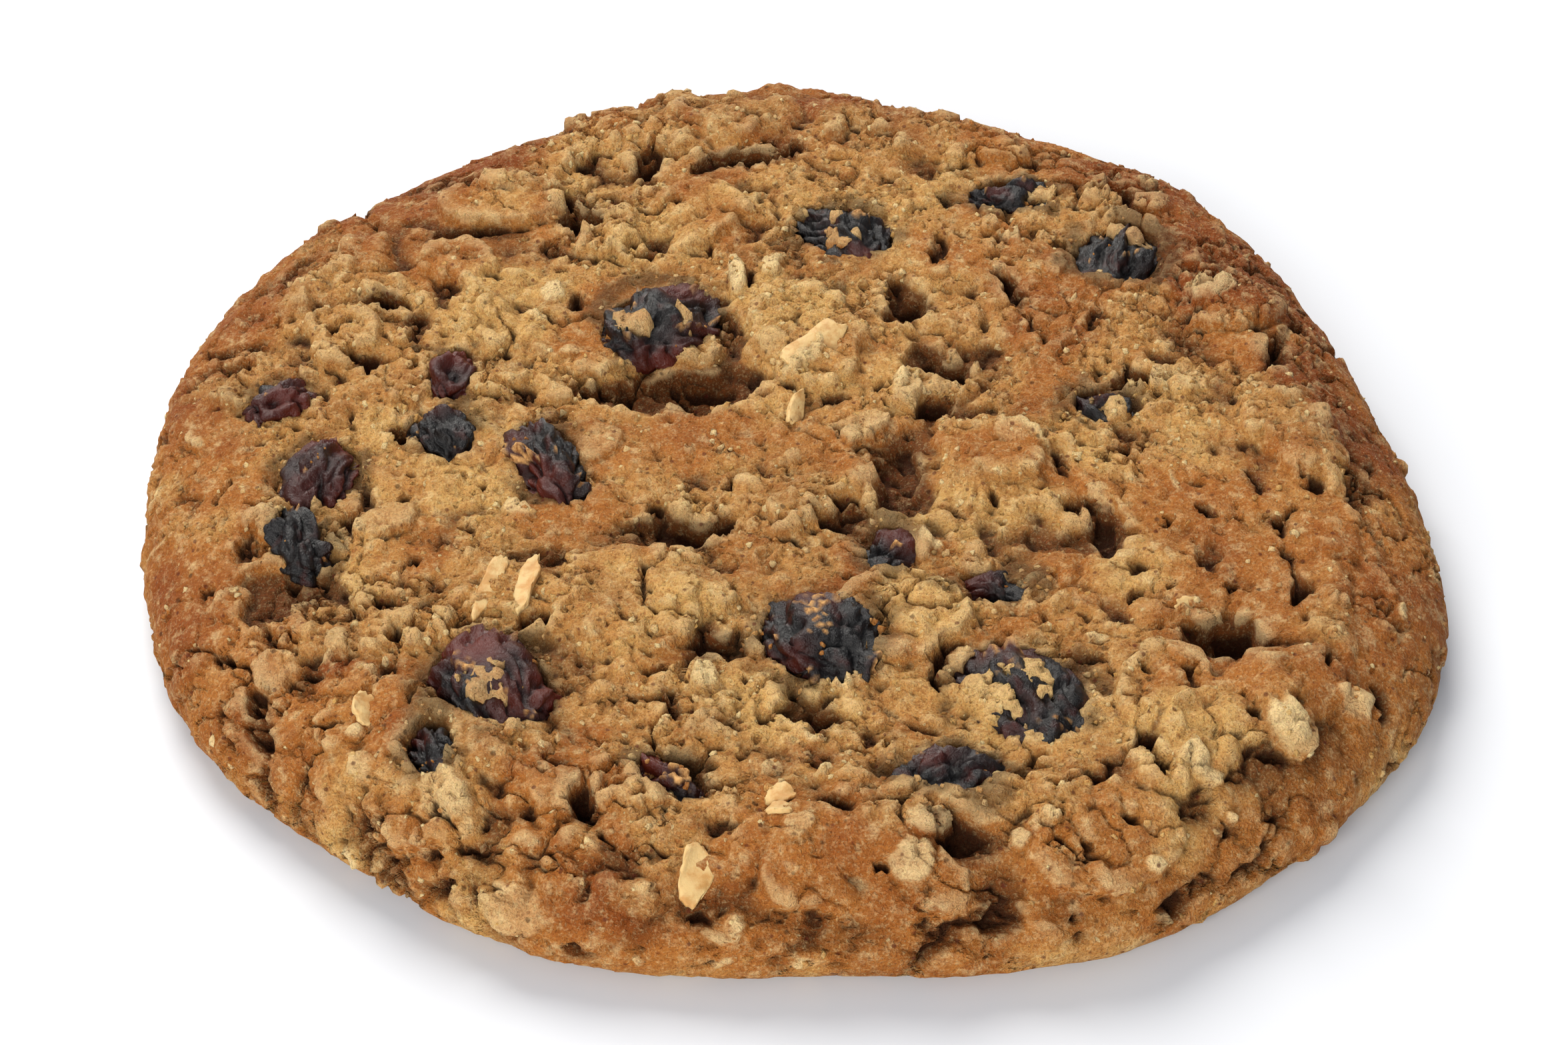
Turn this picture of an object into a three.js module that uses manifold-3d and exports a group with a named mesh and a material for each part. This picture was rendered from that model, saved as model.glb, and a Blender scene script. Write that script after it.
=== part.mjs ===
// A bakery oatmeal raisin cookie: one baked dough disc with craggy relief and oat flakes fused on, and the
// raisins that show, each in its own pocket. Millimetres, +Z up, origin on the table under the middle.
import * as THREE from "three";
import { mergeVertices } from "three/addons/utils/BufferGeometryUtils.js";
import Module from "manifold-3d";

const wasm = await Module();
wasm.setup();

// ---- driving dimensions, mm and degrees ----
const MEAN_RADIUS = 50.6;
const CROWN_HEIGHT = 8.8; // table to the top skin, before crags
const WIDEST_HEIGHT = 2.8; // where the edge bulges out furthest
const SHOULDER_WIDTH = 11; // how far in from the edge the top starts to roll over
const FOOT_INSET = 2.4; // how far the edge tucks in under the bulge
const RIM_RIDGE = { share: 0.83, width: 0.07, rise: 0.55 }; // low ring just inside the shoulder
const CENTRE_SAG = { depth: 0.5, from: 0.1, to: 0.75 }; // the middle sank a little as it cooled
const RAISIN_GAP = 0.3; // clearance between a raisin and its pocket
const DOUGH_DETAIL = 16; // icosahedron subdivision of the dough
const SECTION_STEPS = 600; // places at which the cross-section is worked out
const UNDERSIDE_WEIGHT = 0.12; // share of triangle density kept on the flat base
const RELIEF_STARTS = [0.6, 3.5]; // heights on the edge between which the relief fades in
const SLOPE_REACH = 1.5; // how far round a place the skin's slope is felt
const SMALL_RAISIN = 8; // raisins shorter than this get fewer faces
const RAISIN_FOLD = { depth: 0.16, along: 1.6, across: 3.4 }; // share of its size, folds over its half size
const CENTRING = [0.2, -2, 0]; // brings the middle of the uneven outline's box over the origin

// How far the baked edge wanders from a true circle: [waves round the edge, amplitude, phase].
const EDGE_WAVES = [
  [2, 1.43, -133.9],
  [3, 1.17, -124.4],
  [4, 0.64, -133.9],
  [5, 0.16, 161.3],
  [6, 0.37, -140.6],
  [7, 0.44, -54.7],
  [8, 0.09, -140.1],
  [9, 0.3, 118.3],
];

// Voronoi crust plates, several millimetres across, each at its own height and tilt.
const CRAGS = { size: 6.2, step: 0.42, tilt: 0.07, crease: 0.55, creaseWidth: 1.5, warp: 1.3, warpSize: 4 };
const SWELL = { size: 17, rise: 0.45 };

// Raised plates of dough: centre, half length, half width, turn, rise.
const PLATES = [
  [-9.9, 27.2, 8.5, 5, 20, 0.9],
  [-23.6, 30.1, 5.5, 3.4, 4, 1.1],
  [-26.6, 22.3, 3.6, 3.6, 0, 0.9],
  [-22.3, 16.1, 5.2, 6, 10, 0.7],
  [-34.9, 11.7, 3.6, 4.2, 0, 0.8],
  [1.5, 12.3, 5, 7.5, 12, 1.1],
  [-10.3, -19, 7, 5.6, -15, 1.2],
  [-2, -9.2, 5.5, 4, 15, 0.7],
  [8.4, -21, 5, 6, -30, 1.3],
  [15.8, -1.4, 4.6, 4.6, 0, 1.2],
  [26.6, -28.6, 3.3, 4.8, -15, 1.2],
  [34, -29.1, 5.5, 3.4, 40, 1],
  [36, 16.2, 5, 3, 25, 1.1],
  [38.4, 0.9, 3.8, 7.5, 8, 0.9],
  [4.5, -44.9, 9, 4.6, -6, 0.8],
  [-15.8, -45.1, 4.4, 3.6, -20, 1],
  [-25.3, -38.1, 5.5, 4.2, -35, 0.8],
  [21.4, -43.3, 6, 3.6, 25, 0.9],
  [13.9, 39.9, 8, 3.4, -12, 0.6],
];

const PLATE_FADE = [0.7, 1.15]; // shares of its half size between which a plate falls away

// Sunken places: centre, half length, half width, turn, depth.
const HOLLOWS = [
  [-8, 6.8, 7.4, 4.4, 14, 2.6],
  [-7.2, -10.4, 3.3, 2.1, 10, 1.8],
  [9.4, -4.3, 2.2, 4.8, -12, 1.9],
  [4.4, -9.6, 1.8, 2.8, -35, 1.4],
  [12.4, 10.3, 3.2, 1.8, 0, 2],
  [11.8, 4.8, 1.5, 1.8, 0, 2.2],
  [32.2, -22.6, 3.2, 2.2, 0, 2.6],
  [-36.8, -17.5, 4.8, 4.2, 0, 1.4],
  [11.6, -43.1, 3.2, 2.2, 10, 1.9],
  [-11.4, 36.5, 1.6, 1.6, 0, 2.4],
  [-16.4, 28.3, 1.8, 2.2, 50, 1.9],
  [-33.5, 8.8, 1.4, 1.9, 0, 2],
  [-5.1, -23.8, 1.9, 3.6, 0, 1.6],
  [1.8, -30.5, 3.2, 1.5, 0, 1.8],
  [14.5, -47.4, 1.9, 2.2, 0, 1.5],
  [24.3, -10.4, 1.4, 4, 0, 1.7],
  [9.6, 17.7, 1.6, 3, 0, 1.6],
];

const HOLLOW_FADE = [0.35, 1.15]; // shares of its half size between which a hollow rises to the skin

// Cracks: start, bend and end of the line that each follows, then half width and depth.
const CRACKS = [
  [36.9, -7.3, 36.6, -11.6, 37.8, -17.5, 1.7, 2.6],
  [-14, -38.4, -12.5, -42.2, -11, -45.8, 1.5, 2.4],
  [29.6, -26.5, 27.1, -31.8, 25.5, -38.3, 1.5, 1.8],
  [-37.4, -27.1, -37.6, -30.6, -36.5, -34.5, 1.4, 2],
  [-46.6, -2.5, -46.2, -9.2, -43.3, -16.7, 1.3, 1.2],
  [-32.1, 25.7, -26.6, 26.4, -19.8, 26.3, 1.4, 1.4],
  [-31.4, 16.9, -28.9, 14.9, -28.5, 10.7, 1.5, 1.9],
  [26.9, 35.9, 27.6, 30.3, 31.3, 29.5, 1.4, 1.7],
  [41, 16.3, 39, 10.2, 36.1, 6.3, 1.4, 1.7],
  [17.5, 21.1, 18.1, 18, 19.1, 14.8, 1.3, 1.6],
  [-6.7, 36.4, -3.4, 36.3, 0.5, 38.8, 1.4, 1.6],
  [30.2, -35.3, 33.9, -34.6, 39.6, -30.9, 1.4, 1.4],
  [-37, 41, -36, 36.3, -34.2, 26.9, 1.3, 1.5],
  [27.3, -47.7, 26.4, -46.4, 25.5, -45.8, 1.6, 2.2],
];
const CRACK_STEPS = 16;

// Raisins: centre, length, width, height, turn, and how far the top stands out of the skin.
const RAISINS = {
  raisin_crown_left: [-9.5, 16.1, 13.8, 9, 6.6, 52, 1.6],
  raisin_crown_mid: [4.6, 27, 10.6, 7, 5.4, -38, 1.1],
  raisin_back_right: [18.9, 32.1, 9.4, 5, 4.6, 8, 1],
  raisin_right_large: [27.3, 24.2, 10.8, 7.6, 6, 58, 0.9],
  raisin_right_sunk: [24.4, 3.9, 7, 4.8, 4.6, -35, 0.4],
  raisin_left_red: [-26.4, 8.1, 7.6, 4.2, 4.4, 86, 1.1],
  raisin_left_dark: [-25.7, -0.2, 7, 4, 4.2, -58, 0.8],
  raisin_rim_left: [-38.8, 4, 7.2, 4, 4, 33, 0.7],
  raisin_left_tall: [-35.4, -5.1, 9, 5.8, 5.4, 70, 1.3],
  raisin_left_low: [-36.1, -12.4, 7.4, 4.4, 4.4, -60, 0.9],
  raisin_mid_left: [-17.8, -3.3, 12, 5.6, 5, -68, 1.1],
  raisin_curled: [-20.6, -29.4, 12, 8.6, 6, -56, 1.4],
  raisin_speck: [-24.6, -35, 5.4, 3.6, 3.8, -70, 0.4],
  raisin_centre: [2.2, -23.5, 10.8, 8.8, 7, -48, 2.2],
  raisin_mid_right: [8, -13.1, 6.6, 4.6, 4.6, 60, 0.8],
  raisin_broad: [16.7, -28.8, 13, 9.2, 6.2, -56, 0.9],
  raisin_front: [11.4, -37, 8.4, 6, 5.6, 12, 1.2],
  raisin_front_left: [-8.3, -37.4, 7, 4, 4.4, -40, 0.5],
  raisin_window: [14.9, -16.9, 6.4, 3.8, 4, -20, 0.4],
};

// Oat flakes that show: centre, length, width, turn, lean.
const FLAKES = [
  [-20.9, -18.7, 7, 2.4, 76, 24],
  [-18.3, -19.9, 6, 2.2, 80, -20],
  [-6.2, -45.4, 5.8, 2.4, 83, 14],
  [-29.1, -31.6, 3.6, 2.6, -60, 20],
  [-17.6, -44.7, 4.6, 3.6, -40, 8],
  [30.1, -19.3, 3.4, 2.6, -20, 10],
  [-3.5, 20.7, 5.2, 2.4, 85, 22],
  [-0.4, 22.5, 4.8, 2.6, -80, -10],
  [18.2, -1.4, 5.6, 3.4, -58, 12],
  [2.6, 8.9, 6, 3.4, 62, 10],
  [9.4, 6.3, 4.2, 2.6, 80, -14],
  [-0.2, -39.8, 3.6, 2.4, 75, 16],
  [8.4, -45.1, 3.4, 3, 30, 8],
  [-5.5, -27.1, 4.4, 2.8, 85, 8],
  [-14.4, -0.9, 4.8, 3, 78, -12],
  [-23.2, -39.2, 6.6, 3.4, -60, 8],
  [34.7, -31.9, 4.6, 3.2, -70, 12],
  [-9, -19.3, 5.2, 4.2, 10, 6],
  [34, 17.8, 4.4, 3, 20, 12],
  [-36.4, -26.4, 4, 3.2, 80, 8],
  [-17, 44.8, 4, 3, 20, 8],
  [5.5, 1.4, 5, 4, 30, 7],
  [30.7, 7.1, 4.8, 3.8, -20, 8],
  [-29.7, -9.6, 4.8, 3.8, 50, 7],
];
const FLAKE_THICKNESS = 0.9;
const FLAKE_SIDES = 9;
const FLAKE_UNDERSIDE = 0.88; // size of its lower face against its upper one
const FLAKE_RAGGED = 0.12; // how far its outline wanders, as a share of its half size
const FLAKE_STAND = 0.35; // how far a flake's middle lies above the skin

const DOUGH_LOOK = { color: 0xb98450, roughness: 0.9, metalness: 0 };
const RAISIN_LOOK = { color: 0x2e1c20, roughness: 0.45, metalness: 0 };

// ---- small maths ----
const { lerp, smoothstep, degToRad } = THREE.MathUtils;

/** Repeatable noise from 0 to 1 for a grid corner. */
function cornerValue(i, j, seed) {
  const s = Math.sin(i * 127.1 + j * 311.7 + seed * 74.7) * 43758.5453;
  return s - Math.floor(s);
}

/** Smooth noise from -1 to 1 whose bumps are about one unit wide. */
function softNoise(x, y, seed) {
  const [i, j] = [Math.floor(x), Math.floor(y)];
  const [u, v] = [smoothstep(x - i, 0, 1), smoothstep(y - j, 0, 1)];
  const low = lerp(cornerValue(i, j, seed), cornerValue(i + 1, j, seed), u);
  const high = lerp(cornerValue(i, j + 1, seed), cornerValue(i + 1, j + 1, seed), u);
  return 2 * lerp(low, high, v) - 1;
}

/** One below the first limit, nothing above the second, and a smooth fall between them. */
function fadeOut(value, from, to) {
  return 1 - smoothstep(value, from, to);
}

/** How many times its own half size a point lies from the centre of a turned oval. */
function ovalDistance(x, y, [cx, cy, halfLong, halfWide, turn]) {
  const a = degToRad(turn);
  const [dx, dy] = [x - cx, y - cy];
  const along = dx * Math.cos(a) + dy * Math.sin(a);
  const across = dy * Math.cos(a) - dx * Math.sin(a);
  return Math.hypot(along / halfLong, across / halfWide);
}

// ---- the dough's form ----
/** Edge radius in the direction of an angle. */
function edgeRadius(angle) {
  const wander = EDGE_WAVES.map(([waves, size, phase]) => size * Math.cos(waves * angle - degToRad(phase)));
  return wander.reduce((sum, value) => sum + value, MEAN_RADIUS);
}

/** Crust plates: each Voronoi cell has its own height and tilt, with a crease between cells. */
function cragHeight(x, y) {
  const wx = (x + CRAGS.warp * softNoise(x / CRAGS.warpSize, y / CRAGS.warpSize, 1)) / CRAGS.size;
  const wy = (y + CRAGS.warp * softNoise(x / CRAGS.warpSize, y / CRAGS.warpSize, 2)) / CRAGS.size;
  let nearest = { distance: Infinity, height: 0 };
  let second = Infinity;
  for (let i = Math.floor(wx) - 1; i <= Math.floor(wx) + 1; i++) {
    for (let j = Math.floor(wy) - 1; j <= Math.floor(wy) + 1; j++) {
      const px = i + cornerValue(i, j, 3);
      const py = j + cornerValue(i, j, 4);
      const distance = Math.hypot(wx - px, wy - py);
      if (distance < nearest.distance) {
        second = nearest.distance;
        const lean = (wx - px) * (cornerValue(i, j, 6) - 0.5) + (wy - py) * (cornerValue(i, j, 7) - 0.5);
        const step = CRAGS.step * (2 * cornerValue(i, j, 5) - 1);
        nearest = { distance, height: step + 2 * CRAGS.tilt * CRAGS.size * lean };
      } else {
        second = Math.min(second, distance);
      }
    }
  }
  const toCrease = ((second - nearest.distance) * CRAGS.size) / 2;
  return nearest.height - CRAGS.crease * fadeOut(toCrease, 0, CRAGS.creaseWidth);
}

const crackLines = CRACKS.map(([x0, y0, x1, y1, x2, y2, halfWidth, depth]) => ({
  points: new THREE.QuadraticBezierCurve(
    new THREE.Vector2(x0, y0),
    new THREE.Vector2(x1, y1),
    new THREE.Vector2(x2, y2),
  ).getPoints(CRACK_STEPS),
  halfWidth,
  depth,
}));

/** Depth of a crack at a point: a groove that fades out over its half width. */
function crackDepth(x, y, { points, halfWidth, depth }) {
  const nearest = Math.min(...points.map((p) => Math.hypot(x - p.x, y - p.y)));
  return depth * fadeOut(nearest, 0, halfWidth);
}

/** How far the top skin stands above its smooth form at a place on the cookie. */
function skinRelief(x, y) {
  const share = Math.hypot(x, y) / edgeRadius(Math.atan2(y, x));
  const ring = Math.exp(-(((share - RIM_RIDGE.share) / RIM_RIDGE.width) ** 2));
  let relief = RIM_RIDGE.rise * ring;
  relief -= CENTRE_SAG.depth * fadeOut(share, CENTRE_SAG.from, CENTRE_SAG.to);
  relief += SWELL.rise * softNoise(x / SWELL.size, y / SWELL.size, 8) + cragHeight(x, y);
  for (const plate of PLATES) relief += plate[5] * fadeOut(ovalDistance(x, y, plate), ...PLATE_FADE);
  for (const hollow of HOLLOWS) relief -= hollow[5] * fadeOut(ovalDistance(x, y, hollow), ...HOLLOW_FADE);
  for (const crack of crackLines) relief -= crackDepth(x, y, crack);
  return relief;
}

/** Cross-section of the smooth disc, from the middle of the top round the edge to the middle of the base. */
function crossSection() {
  const shoulder = MEAN_RADIUS - SHOULDER_WIDTH;
  const foot = MEAN_RADIUS - FOOT_INSET;
  const rise = CROWN_HEIGHT - WIDEST_HEIGHT;
  const section = new THREE.Path();
  section.moveTo(0, CROWN_HEIGHT);
  section.lineTo(shoulder, CROWN_HEIGHT);
  section.absellipse(shoulder, WIDEST_HEIGHT, SHOULDER_WIDTH, rise, Math.PI / 2, 0, true);
  section.absellipse(foot, WIDEST_HEIGHT, FOOT_INSET, WIDEST_HEIGHT, 0, -Math.PI / 2, true);
  section.lineTo(0, 0);
  return section.getSpacedPoints(SECTION_STEPS);
}

/** Running share of the surface along the cross-section, with the flat base counted lightly. */
function surfaceShares(section) {
  const shares = [0];
  for (let i = 1; i < section.length; i++) {
    const [a, b] = [section[i - 1], section[i]];
    const weight = b.y < 0.01 ? UNDERSIDE_WEIGHT : 1;
    shares.push(shares[i - 1] + weight * a.distanceTo(b) * (a.x + b.x));
  }
  const total = shares[shares.length - 1];
  return shares.map((share) => share / total);
}

/** Place on the cross-section that has a given share of the surface before it, with the outward normal. */
function sectionAt(section, shares, share) {
  let i = shares.findIndex((value) => value >= share);
  i = THREE.MathUtils.clamp(i, 1, section.length - 1);
  const t = (share - shares[i - 1]) / Math.max(shares[i] - shares[i - 1], 1e-9);
  const place = section[i - 1].clone().lerp(section[i], THREE.MathUtils.clamp(t, 0, 1));
  const along = section[i].clone().sub(section[i - 1]).normalize();
  return { place, normal: new THREE.Vector2(-along.y, along.x) };
}

/** A closed triangle mesh, without normals or uvs, whose shared corners are merged. */
function closedMesh(geometry) {
  geometry.deleteAttribute("normal");
  geometry.deleteAttribute("uv");
  return mergeVertices(geometry, 1e-3);
}

/** Height of the top skin above the table at a place on the cookie. */
function skinHeight(x, y) {
  const section = (Math.hypot(x, y) * MEAN_RADIUS) / edgeRadius(Math.atan2(y, x));
  const over = THREE.MathUtils.clamp((section - MEAN_RADIUS + SHOULDER_WIDTH) / SHOULDER_WIDTH, 0, 1);
  return lerp(WIDEST_HEIGHT, CROWN_HEIGHT, Math.sqrt(1 - over * over)) + skinRelief(x, y);
}

/** The dough alone: an even ball of triangles pressed onto the cross-section, then given its relief. */
function doughGeometry() {
  const ball = closedMesh(new THREE.IcosahedronGeometry(1, DOUGH_DETAIL));
  const section = crossSection();
  const shares = surfaceShares(section);
  const position = ball.getAttribute("position");
  for (let i = 0; i < position.count; i++) {
    const direction = new THREE.Vector3().fromBufferAttribute(position, i).normalize();
    const angle = Math.atan2(direction.y, direction.x);
    const { place, normal } = sectionAt(section, shares, (1 - direction.z) / 2);
    const radius = (place.x * edgeRadius(angle)) / MEAN_RADIUS;
    const relief = skinRelief(radius * Math.cos(angle), radius * Math.sin(angle));
    const push = relief * smoothstep(place.y, ...RELIEF_STARTS);
    const reach = radius + normal.x * push;
    position.setXYZ(i, reach * Math.cos(angle), reach * Math.sin(angle), place.y + normal.y * push);
  }
  return ball;
}

// ---- raisins and flakes ----
/** Placement of a thing that lies on the skin: turned, leaning, and following the slope under it. */
function onSkin(x, y, turn, lean, rise) {
  const slopeX = (skinHeight(x + SLOPE_REACH, y) - skinHeight(x - SLOPE_REACH, y)) / (2 * SLOPE_REACH);
  const slopeY = (skinHeight(x, y + SLOPE_REACH) - skinHeight(x, y - SLOPE_REACH)) / (2 * SLOPE_REACH);
  const up = new THREE.Vector3(-slopeX, -slopeY, 1).normalize();
  const steps = [-SLOPE_REACH, 0, SLOPE_REACH];
  const around = steps.flatMap((dx) => steps.map((dy) => skinHeight(x + dx, y + dy)));
  const middle = around.reduce((sum, height) => sum + height, 0) / around.length;
  const tilt = new THREE.Quaternion().setFromUnitVectors(new THREE.Vector3(0, 0, 1), up);
  const spin = new THREE.Quaternion().setFromEuler(new THREE.Euler(degToRad(lean), 0, degToRad(turn), "ZYX"));
  const place = new THREE.Vector3(x, y, middle).addScaledVector(up, rise);
  return { position: place, quaternion: tilt.multiply(spin) };
}

/** Where a raisin sits: its top stands out of the skin by its own amount. */
function raisinPlace([x, y, , , height, turn, stand]) {
  return onSkin(x, y, turn, 0, stand - height / 2);
}

/** An oval whose faces grow with its length, so a raisin and its pocket have parallel faces. */
function ovalGeometry([, , length, width, height], clearance) {
  const ball = new THREE.IcosahedronGeometry(1, length > SMALL_RAISIN ? 2 : 1);
  ball.scale(length / 2 + clearance, width / 2 + clearance, height / 2 + clearance);
  return closedMesh(ball);
}

/** A raisin's shape before it is placed: an oval with long folds pressed into it. */
function raisinGeometry(raisin) {
  const [x, y, length, width, height] = raisin;
  const skin = ovalGeometry(raisin, 0);
  const position = skin.getAttribute("position");
  for (let i = 0; i < position.count; i++) {
    const p = new THREE.Vector3().fromBufferAttribute(position, i);
    const along = (2 * p.x) / length;
    const across = (2 * p.y) / width + (2 * p.z) / height;
    const fold = 0.5 + 0.5 * softNoise(RAISIN_FOLD.along * along + x, RAISIN_FOLD.across * across + y, 9);
    p.multiplyScalar(1 - RAISIN_FOLD.depth * fold);
    position.setXYZ(i, p.x, p.y, p.z);
  }
  return skin;
}

/** A rolled oat flake: a thin uneven oval disc. */
function flakeGeometry([x, y, length, width]) {
  const disc = new THREE.CylinderGeometry(1, FLAKE_UNDERSIDE, FLAKE_THICKNESS, FLAKE_SIDES);
  const flake = closedMesh(disc.rotateX(Math.PI / 2));
  const position = flake.getAttribute("position");
  for (let i = 0; i < position.count; i++) {
    const [px, py] = [position.getX(i), position.getY(i)];
    const ragged = 1 + FLAKE_RAGGED * softNoise(2 * px + x, 2 * py + y, 10);
    position.setXYZ(i, (px * ragged * length) / 2, (py * ragged * width) / 2, position.getZ(i));
  }
  return flake;
}

/** A closed geometry at a placement, as a solid for cutting and joining. */
function solidOf(geometry, { position, quaternion }) {
  const placed = geometry.clone().applyQuaternion(quaternion).translate(...position.toArray());
  return new wasm.Manifold(
    new wasm.Mesh({
      numProp: 3,
      vertProperties: new Float32Array(placed.getAttribute("position").array),
      triVerts: new Uint32Array(placed.index.array),
    }),
  );
}

/** A solid as a three.js geometry. */
function geometryOf(solid) {
  const { vertProperties, triVerts } = solid.getMesh();
  return new THREE.BufferGeometry()
    .setAttribute("position", new THREE.BufferAttribute(vertProperties, 3))
    .setIndex(new THREE.BufferAttribute(triVerts, 1));
}

// ---- the cookie ----
const atOrigin = { position: new THREE.Vector3(), quaternion: new THREE.Quaternion() };

/** The dough with its flakes fused on and a pocket for each raisin, with loose scraps dropped. */
function doughSolid() {
  let dough = solidOf(doughGeometry(), atOrigin);
  for (const flake of FLAKES) {
    const [x, y, , , turn, lean] = flake;
    dough = dough.add(solidOf(flakeGeometry(flake), onSkin(x, y, turn, lean, FLAKE_STAND)));
  }
  for (const raisin of Object.values(RAISINS)) {
    dough = dough.subtract(solidOf(ovalGeometry(raisin, RAISIN_GAP), raisinPlace(raisin)));
  }
  return dough.decompose().reduce((largest, body) => (body.volume() > largest.volume() ? body : largest));
}

const cookie = new THREE.Group();

const dough = new THREE.Mesh(geometryOf(doughSolid()), new THREE.MeshStandardMaterial(DOUGH_LOOK));
dough.name = "dough";
cookie.add(dough);

const raisinSkin = new THREE.MeshStandardMaterial(RAISIN_LOOK);
for (const [name, raisin] of Object.entries(RAISINS)) {
  const mesh = new THREE.Mesh(raisinGeometry(raisin), raisinSkin);
  const { position, quaternion } = raisinPlace(raisin);
  mesh.name = name;
  mesh.position.copy(position);
  mesh.quaternion.copy(quaternion);
  cookie.add(mesh);
}

cookie.position.set(...CENTRING);

export default cookie;
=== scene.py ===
"""An oatmeal raisin cookie: craggy baked crumb, rolled oats and wrinkled raisins on a pale table.

The crumb has the same named sizes, in millimetres, as the solid that it stands for. It adds what the solid is
too coarse for: ragged crust edges, coated oats, pits and grain. The raisins are grown from their own solids.
"""

import logging
import math
from dataclasses import dataclass, field
from enum import Enum
from functools import cached_property
from typing import ClassVar

import bmesh
import bpy
import numpy as np
from mathutils import Matrix, Quaternion, Vector, noise


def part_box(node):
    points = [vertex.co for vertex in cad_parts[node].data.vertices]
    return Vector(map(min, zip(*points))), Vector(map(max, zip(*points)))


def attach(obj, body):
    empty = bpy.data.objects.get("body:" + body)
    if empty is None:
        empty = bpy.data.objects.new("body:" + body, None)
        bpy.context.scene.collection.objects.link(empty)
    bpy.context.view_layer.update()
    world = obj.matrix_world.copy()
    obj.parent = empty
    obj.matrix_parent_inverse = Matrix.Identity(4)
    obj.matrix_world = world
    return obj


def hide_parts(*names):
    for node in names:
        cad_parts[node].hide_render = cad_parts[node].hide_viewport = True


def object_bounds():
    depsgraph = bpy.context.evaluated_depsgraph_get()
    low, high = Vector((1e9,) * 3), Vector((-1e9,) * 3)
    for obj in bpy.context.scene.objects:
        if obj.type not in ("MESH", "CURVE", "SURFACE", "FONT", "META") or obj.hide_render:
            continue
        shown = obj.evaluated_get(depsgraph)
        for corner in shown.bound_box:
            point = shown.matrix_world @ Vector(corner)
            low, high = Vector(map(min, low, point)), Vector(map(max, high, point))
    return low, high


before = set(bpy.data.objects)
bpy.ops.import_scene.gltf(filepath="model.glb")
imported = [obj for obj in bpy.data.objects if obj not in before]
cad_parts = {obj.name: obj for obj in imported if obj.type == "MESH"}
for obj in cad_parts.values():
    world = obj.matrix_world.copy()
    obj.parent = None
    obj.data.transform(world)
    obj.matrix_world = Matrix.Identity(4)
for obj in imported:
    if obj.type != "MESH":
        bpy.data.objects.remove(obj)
CAD_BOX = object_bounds()

MM = 0.001
Array = np.ndarray
log = logging.getLogger("cookie")

# ---- the dough's sizes, in millimetres and degrees, as in the solid ----
MEAN_RADIUS = 50.6
CROWN_HEIGHT = 8.8
WIDEST_HEIGHT = 2.8
SHOULDER_WIDTH = 11.0
FOOT_INSET = 2.4
CENTRING = (0.2, -2.0)  # brings the middle of the uneven outline's box over the origin
RIM_RIDGE = (0.83, 0.07, 0.55)  # where it runs, its width and its rise
CENTRE_SAG = (0.5, 0.1, 0.75)  # depth, and the shares of the radius between which it ends
SWELL = (17.0, 0.45)  # size and rise of the broad waves
SLOPE_REACH = 1.5

# Waves round the edge, amplitude, phase.
EDGE_WAVES = (
    (2, 1.43, -133.9),
    (3, 1.17, -124.4),
    (4, 0.64, -133.9),
    (5, 0.16, 161.3),
    (6, 0.37, -140.6),
    (7, 0.44, -54.7),
    (8, 0.09, -140.1),
    (9, 0.30, 118.3),
)

# Raised plates of dough: centre, half length, half width, turn, rise.
PLATES = (
    (-9.9, 27.2, 8.5, 5.0, 20, 0.9),
    (-23.6, 30.1, 5.5, 3.4, 4, 1.1),
    (-26.6, 22.3, 3.6, 3.6, 0, 0.9),
    (-22.3, 16.1, 5.2, 6.0, 10, 0.7),
    (-34.9, 11.7, 3.6, 4.2, 0, 0.8),
    (1.5, 12.3, 5.0, 7.5, 12, 1.1),
    (-10.3, -19.0, 7.0, 5.6, -15, 1.2),
    (-2.0, -9.2, 5.5, 4.0, 15, 0.7),
    (8.4, -21.0, 5.0, 6.0, -30, 1.3),
    (15.8, -1.4, 4.6, 4.6, 0, 1.2),
    (26.6, -28.6, 3.3, 4.8, -15, 1.2),
    (34.0, -29.1, 5.5, 3.4, 40, 1.0),
    (36.0, 16.2, 5.0, 3.0, 25, 1.1),
    (38.4, 0.9, 3.8, 7.5, 8, 0.9),
    (4.5, -44.9, 9.0, 4.6, -6, 0.8),
    (-15.8, -45.1, 4.4, 3.6, -20, 0.45),
    (-25.3, -38.1, 5.5, 4.2, -35, 0.8),
    (21.4, -43.3, 6.0, 3.6, 25, 0.9),
    (13.9, 39.9, 8.0, 3.4, -12, 0.6),
)

# Sunken places: centre, half length, half width, turn, depth.
HOLLOWS = (
    (-8.0, 6.8, 7.4, 4.4, 14, 2.6),
    (-7.2, -10.4, 3.3, 2.1, 10, 1.8),
    (9.4, -4.3, 2.2, 4.8, -12, 1.9),
    (4.4, -9.6, 1.8, 2.8, -35, 1.4),
    (12.4, 10.3, 3.2, 1.8, 0, 2.0),
    (11.8, 4.8, 1.5, 1.8, 0, 2.2),
    (32.2, -22.6, 3.2, 2.2, 0, 2.6),
    (-36.8, -17.5, 4.8, 4.2, 0, 1.4),
    (11.6, -43.1, 3.2, 2.2, 10, 1.9),
    (-11.4, 36.5, 1.6, 1.6, 0, 2.4),
    (-16.4, 28.3, 1.8, 2.2, 50, 1.9),
    (-33.5, 8.8, 1.4, 1.9, 0, 2.0),
    (-5.1, -23.8, 1.9, 3.6, 0, 1.6),
    (1.8, -30.5, 3.2, 1.5, 0, 1.8),
    (14.5, -47.4, 1.9, 2.2, 0, 1.5),
    (24.3, -10.4, 1.4, 4.0, 0, 1.7),
    (9.6, 17.7, 1.6, 3.0, 0, 1.6),
)

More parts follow.
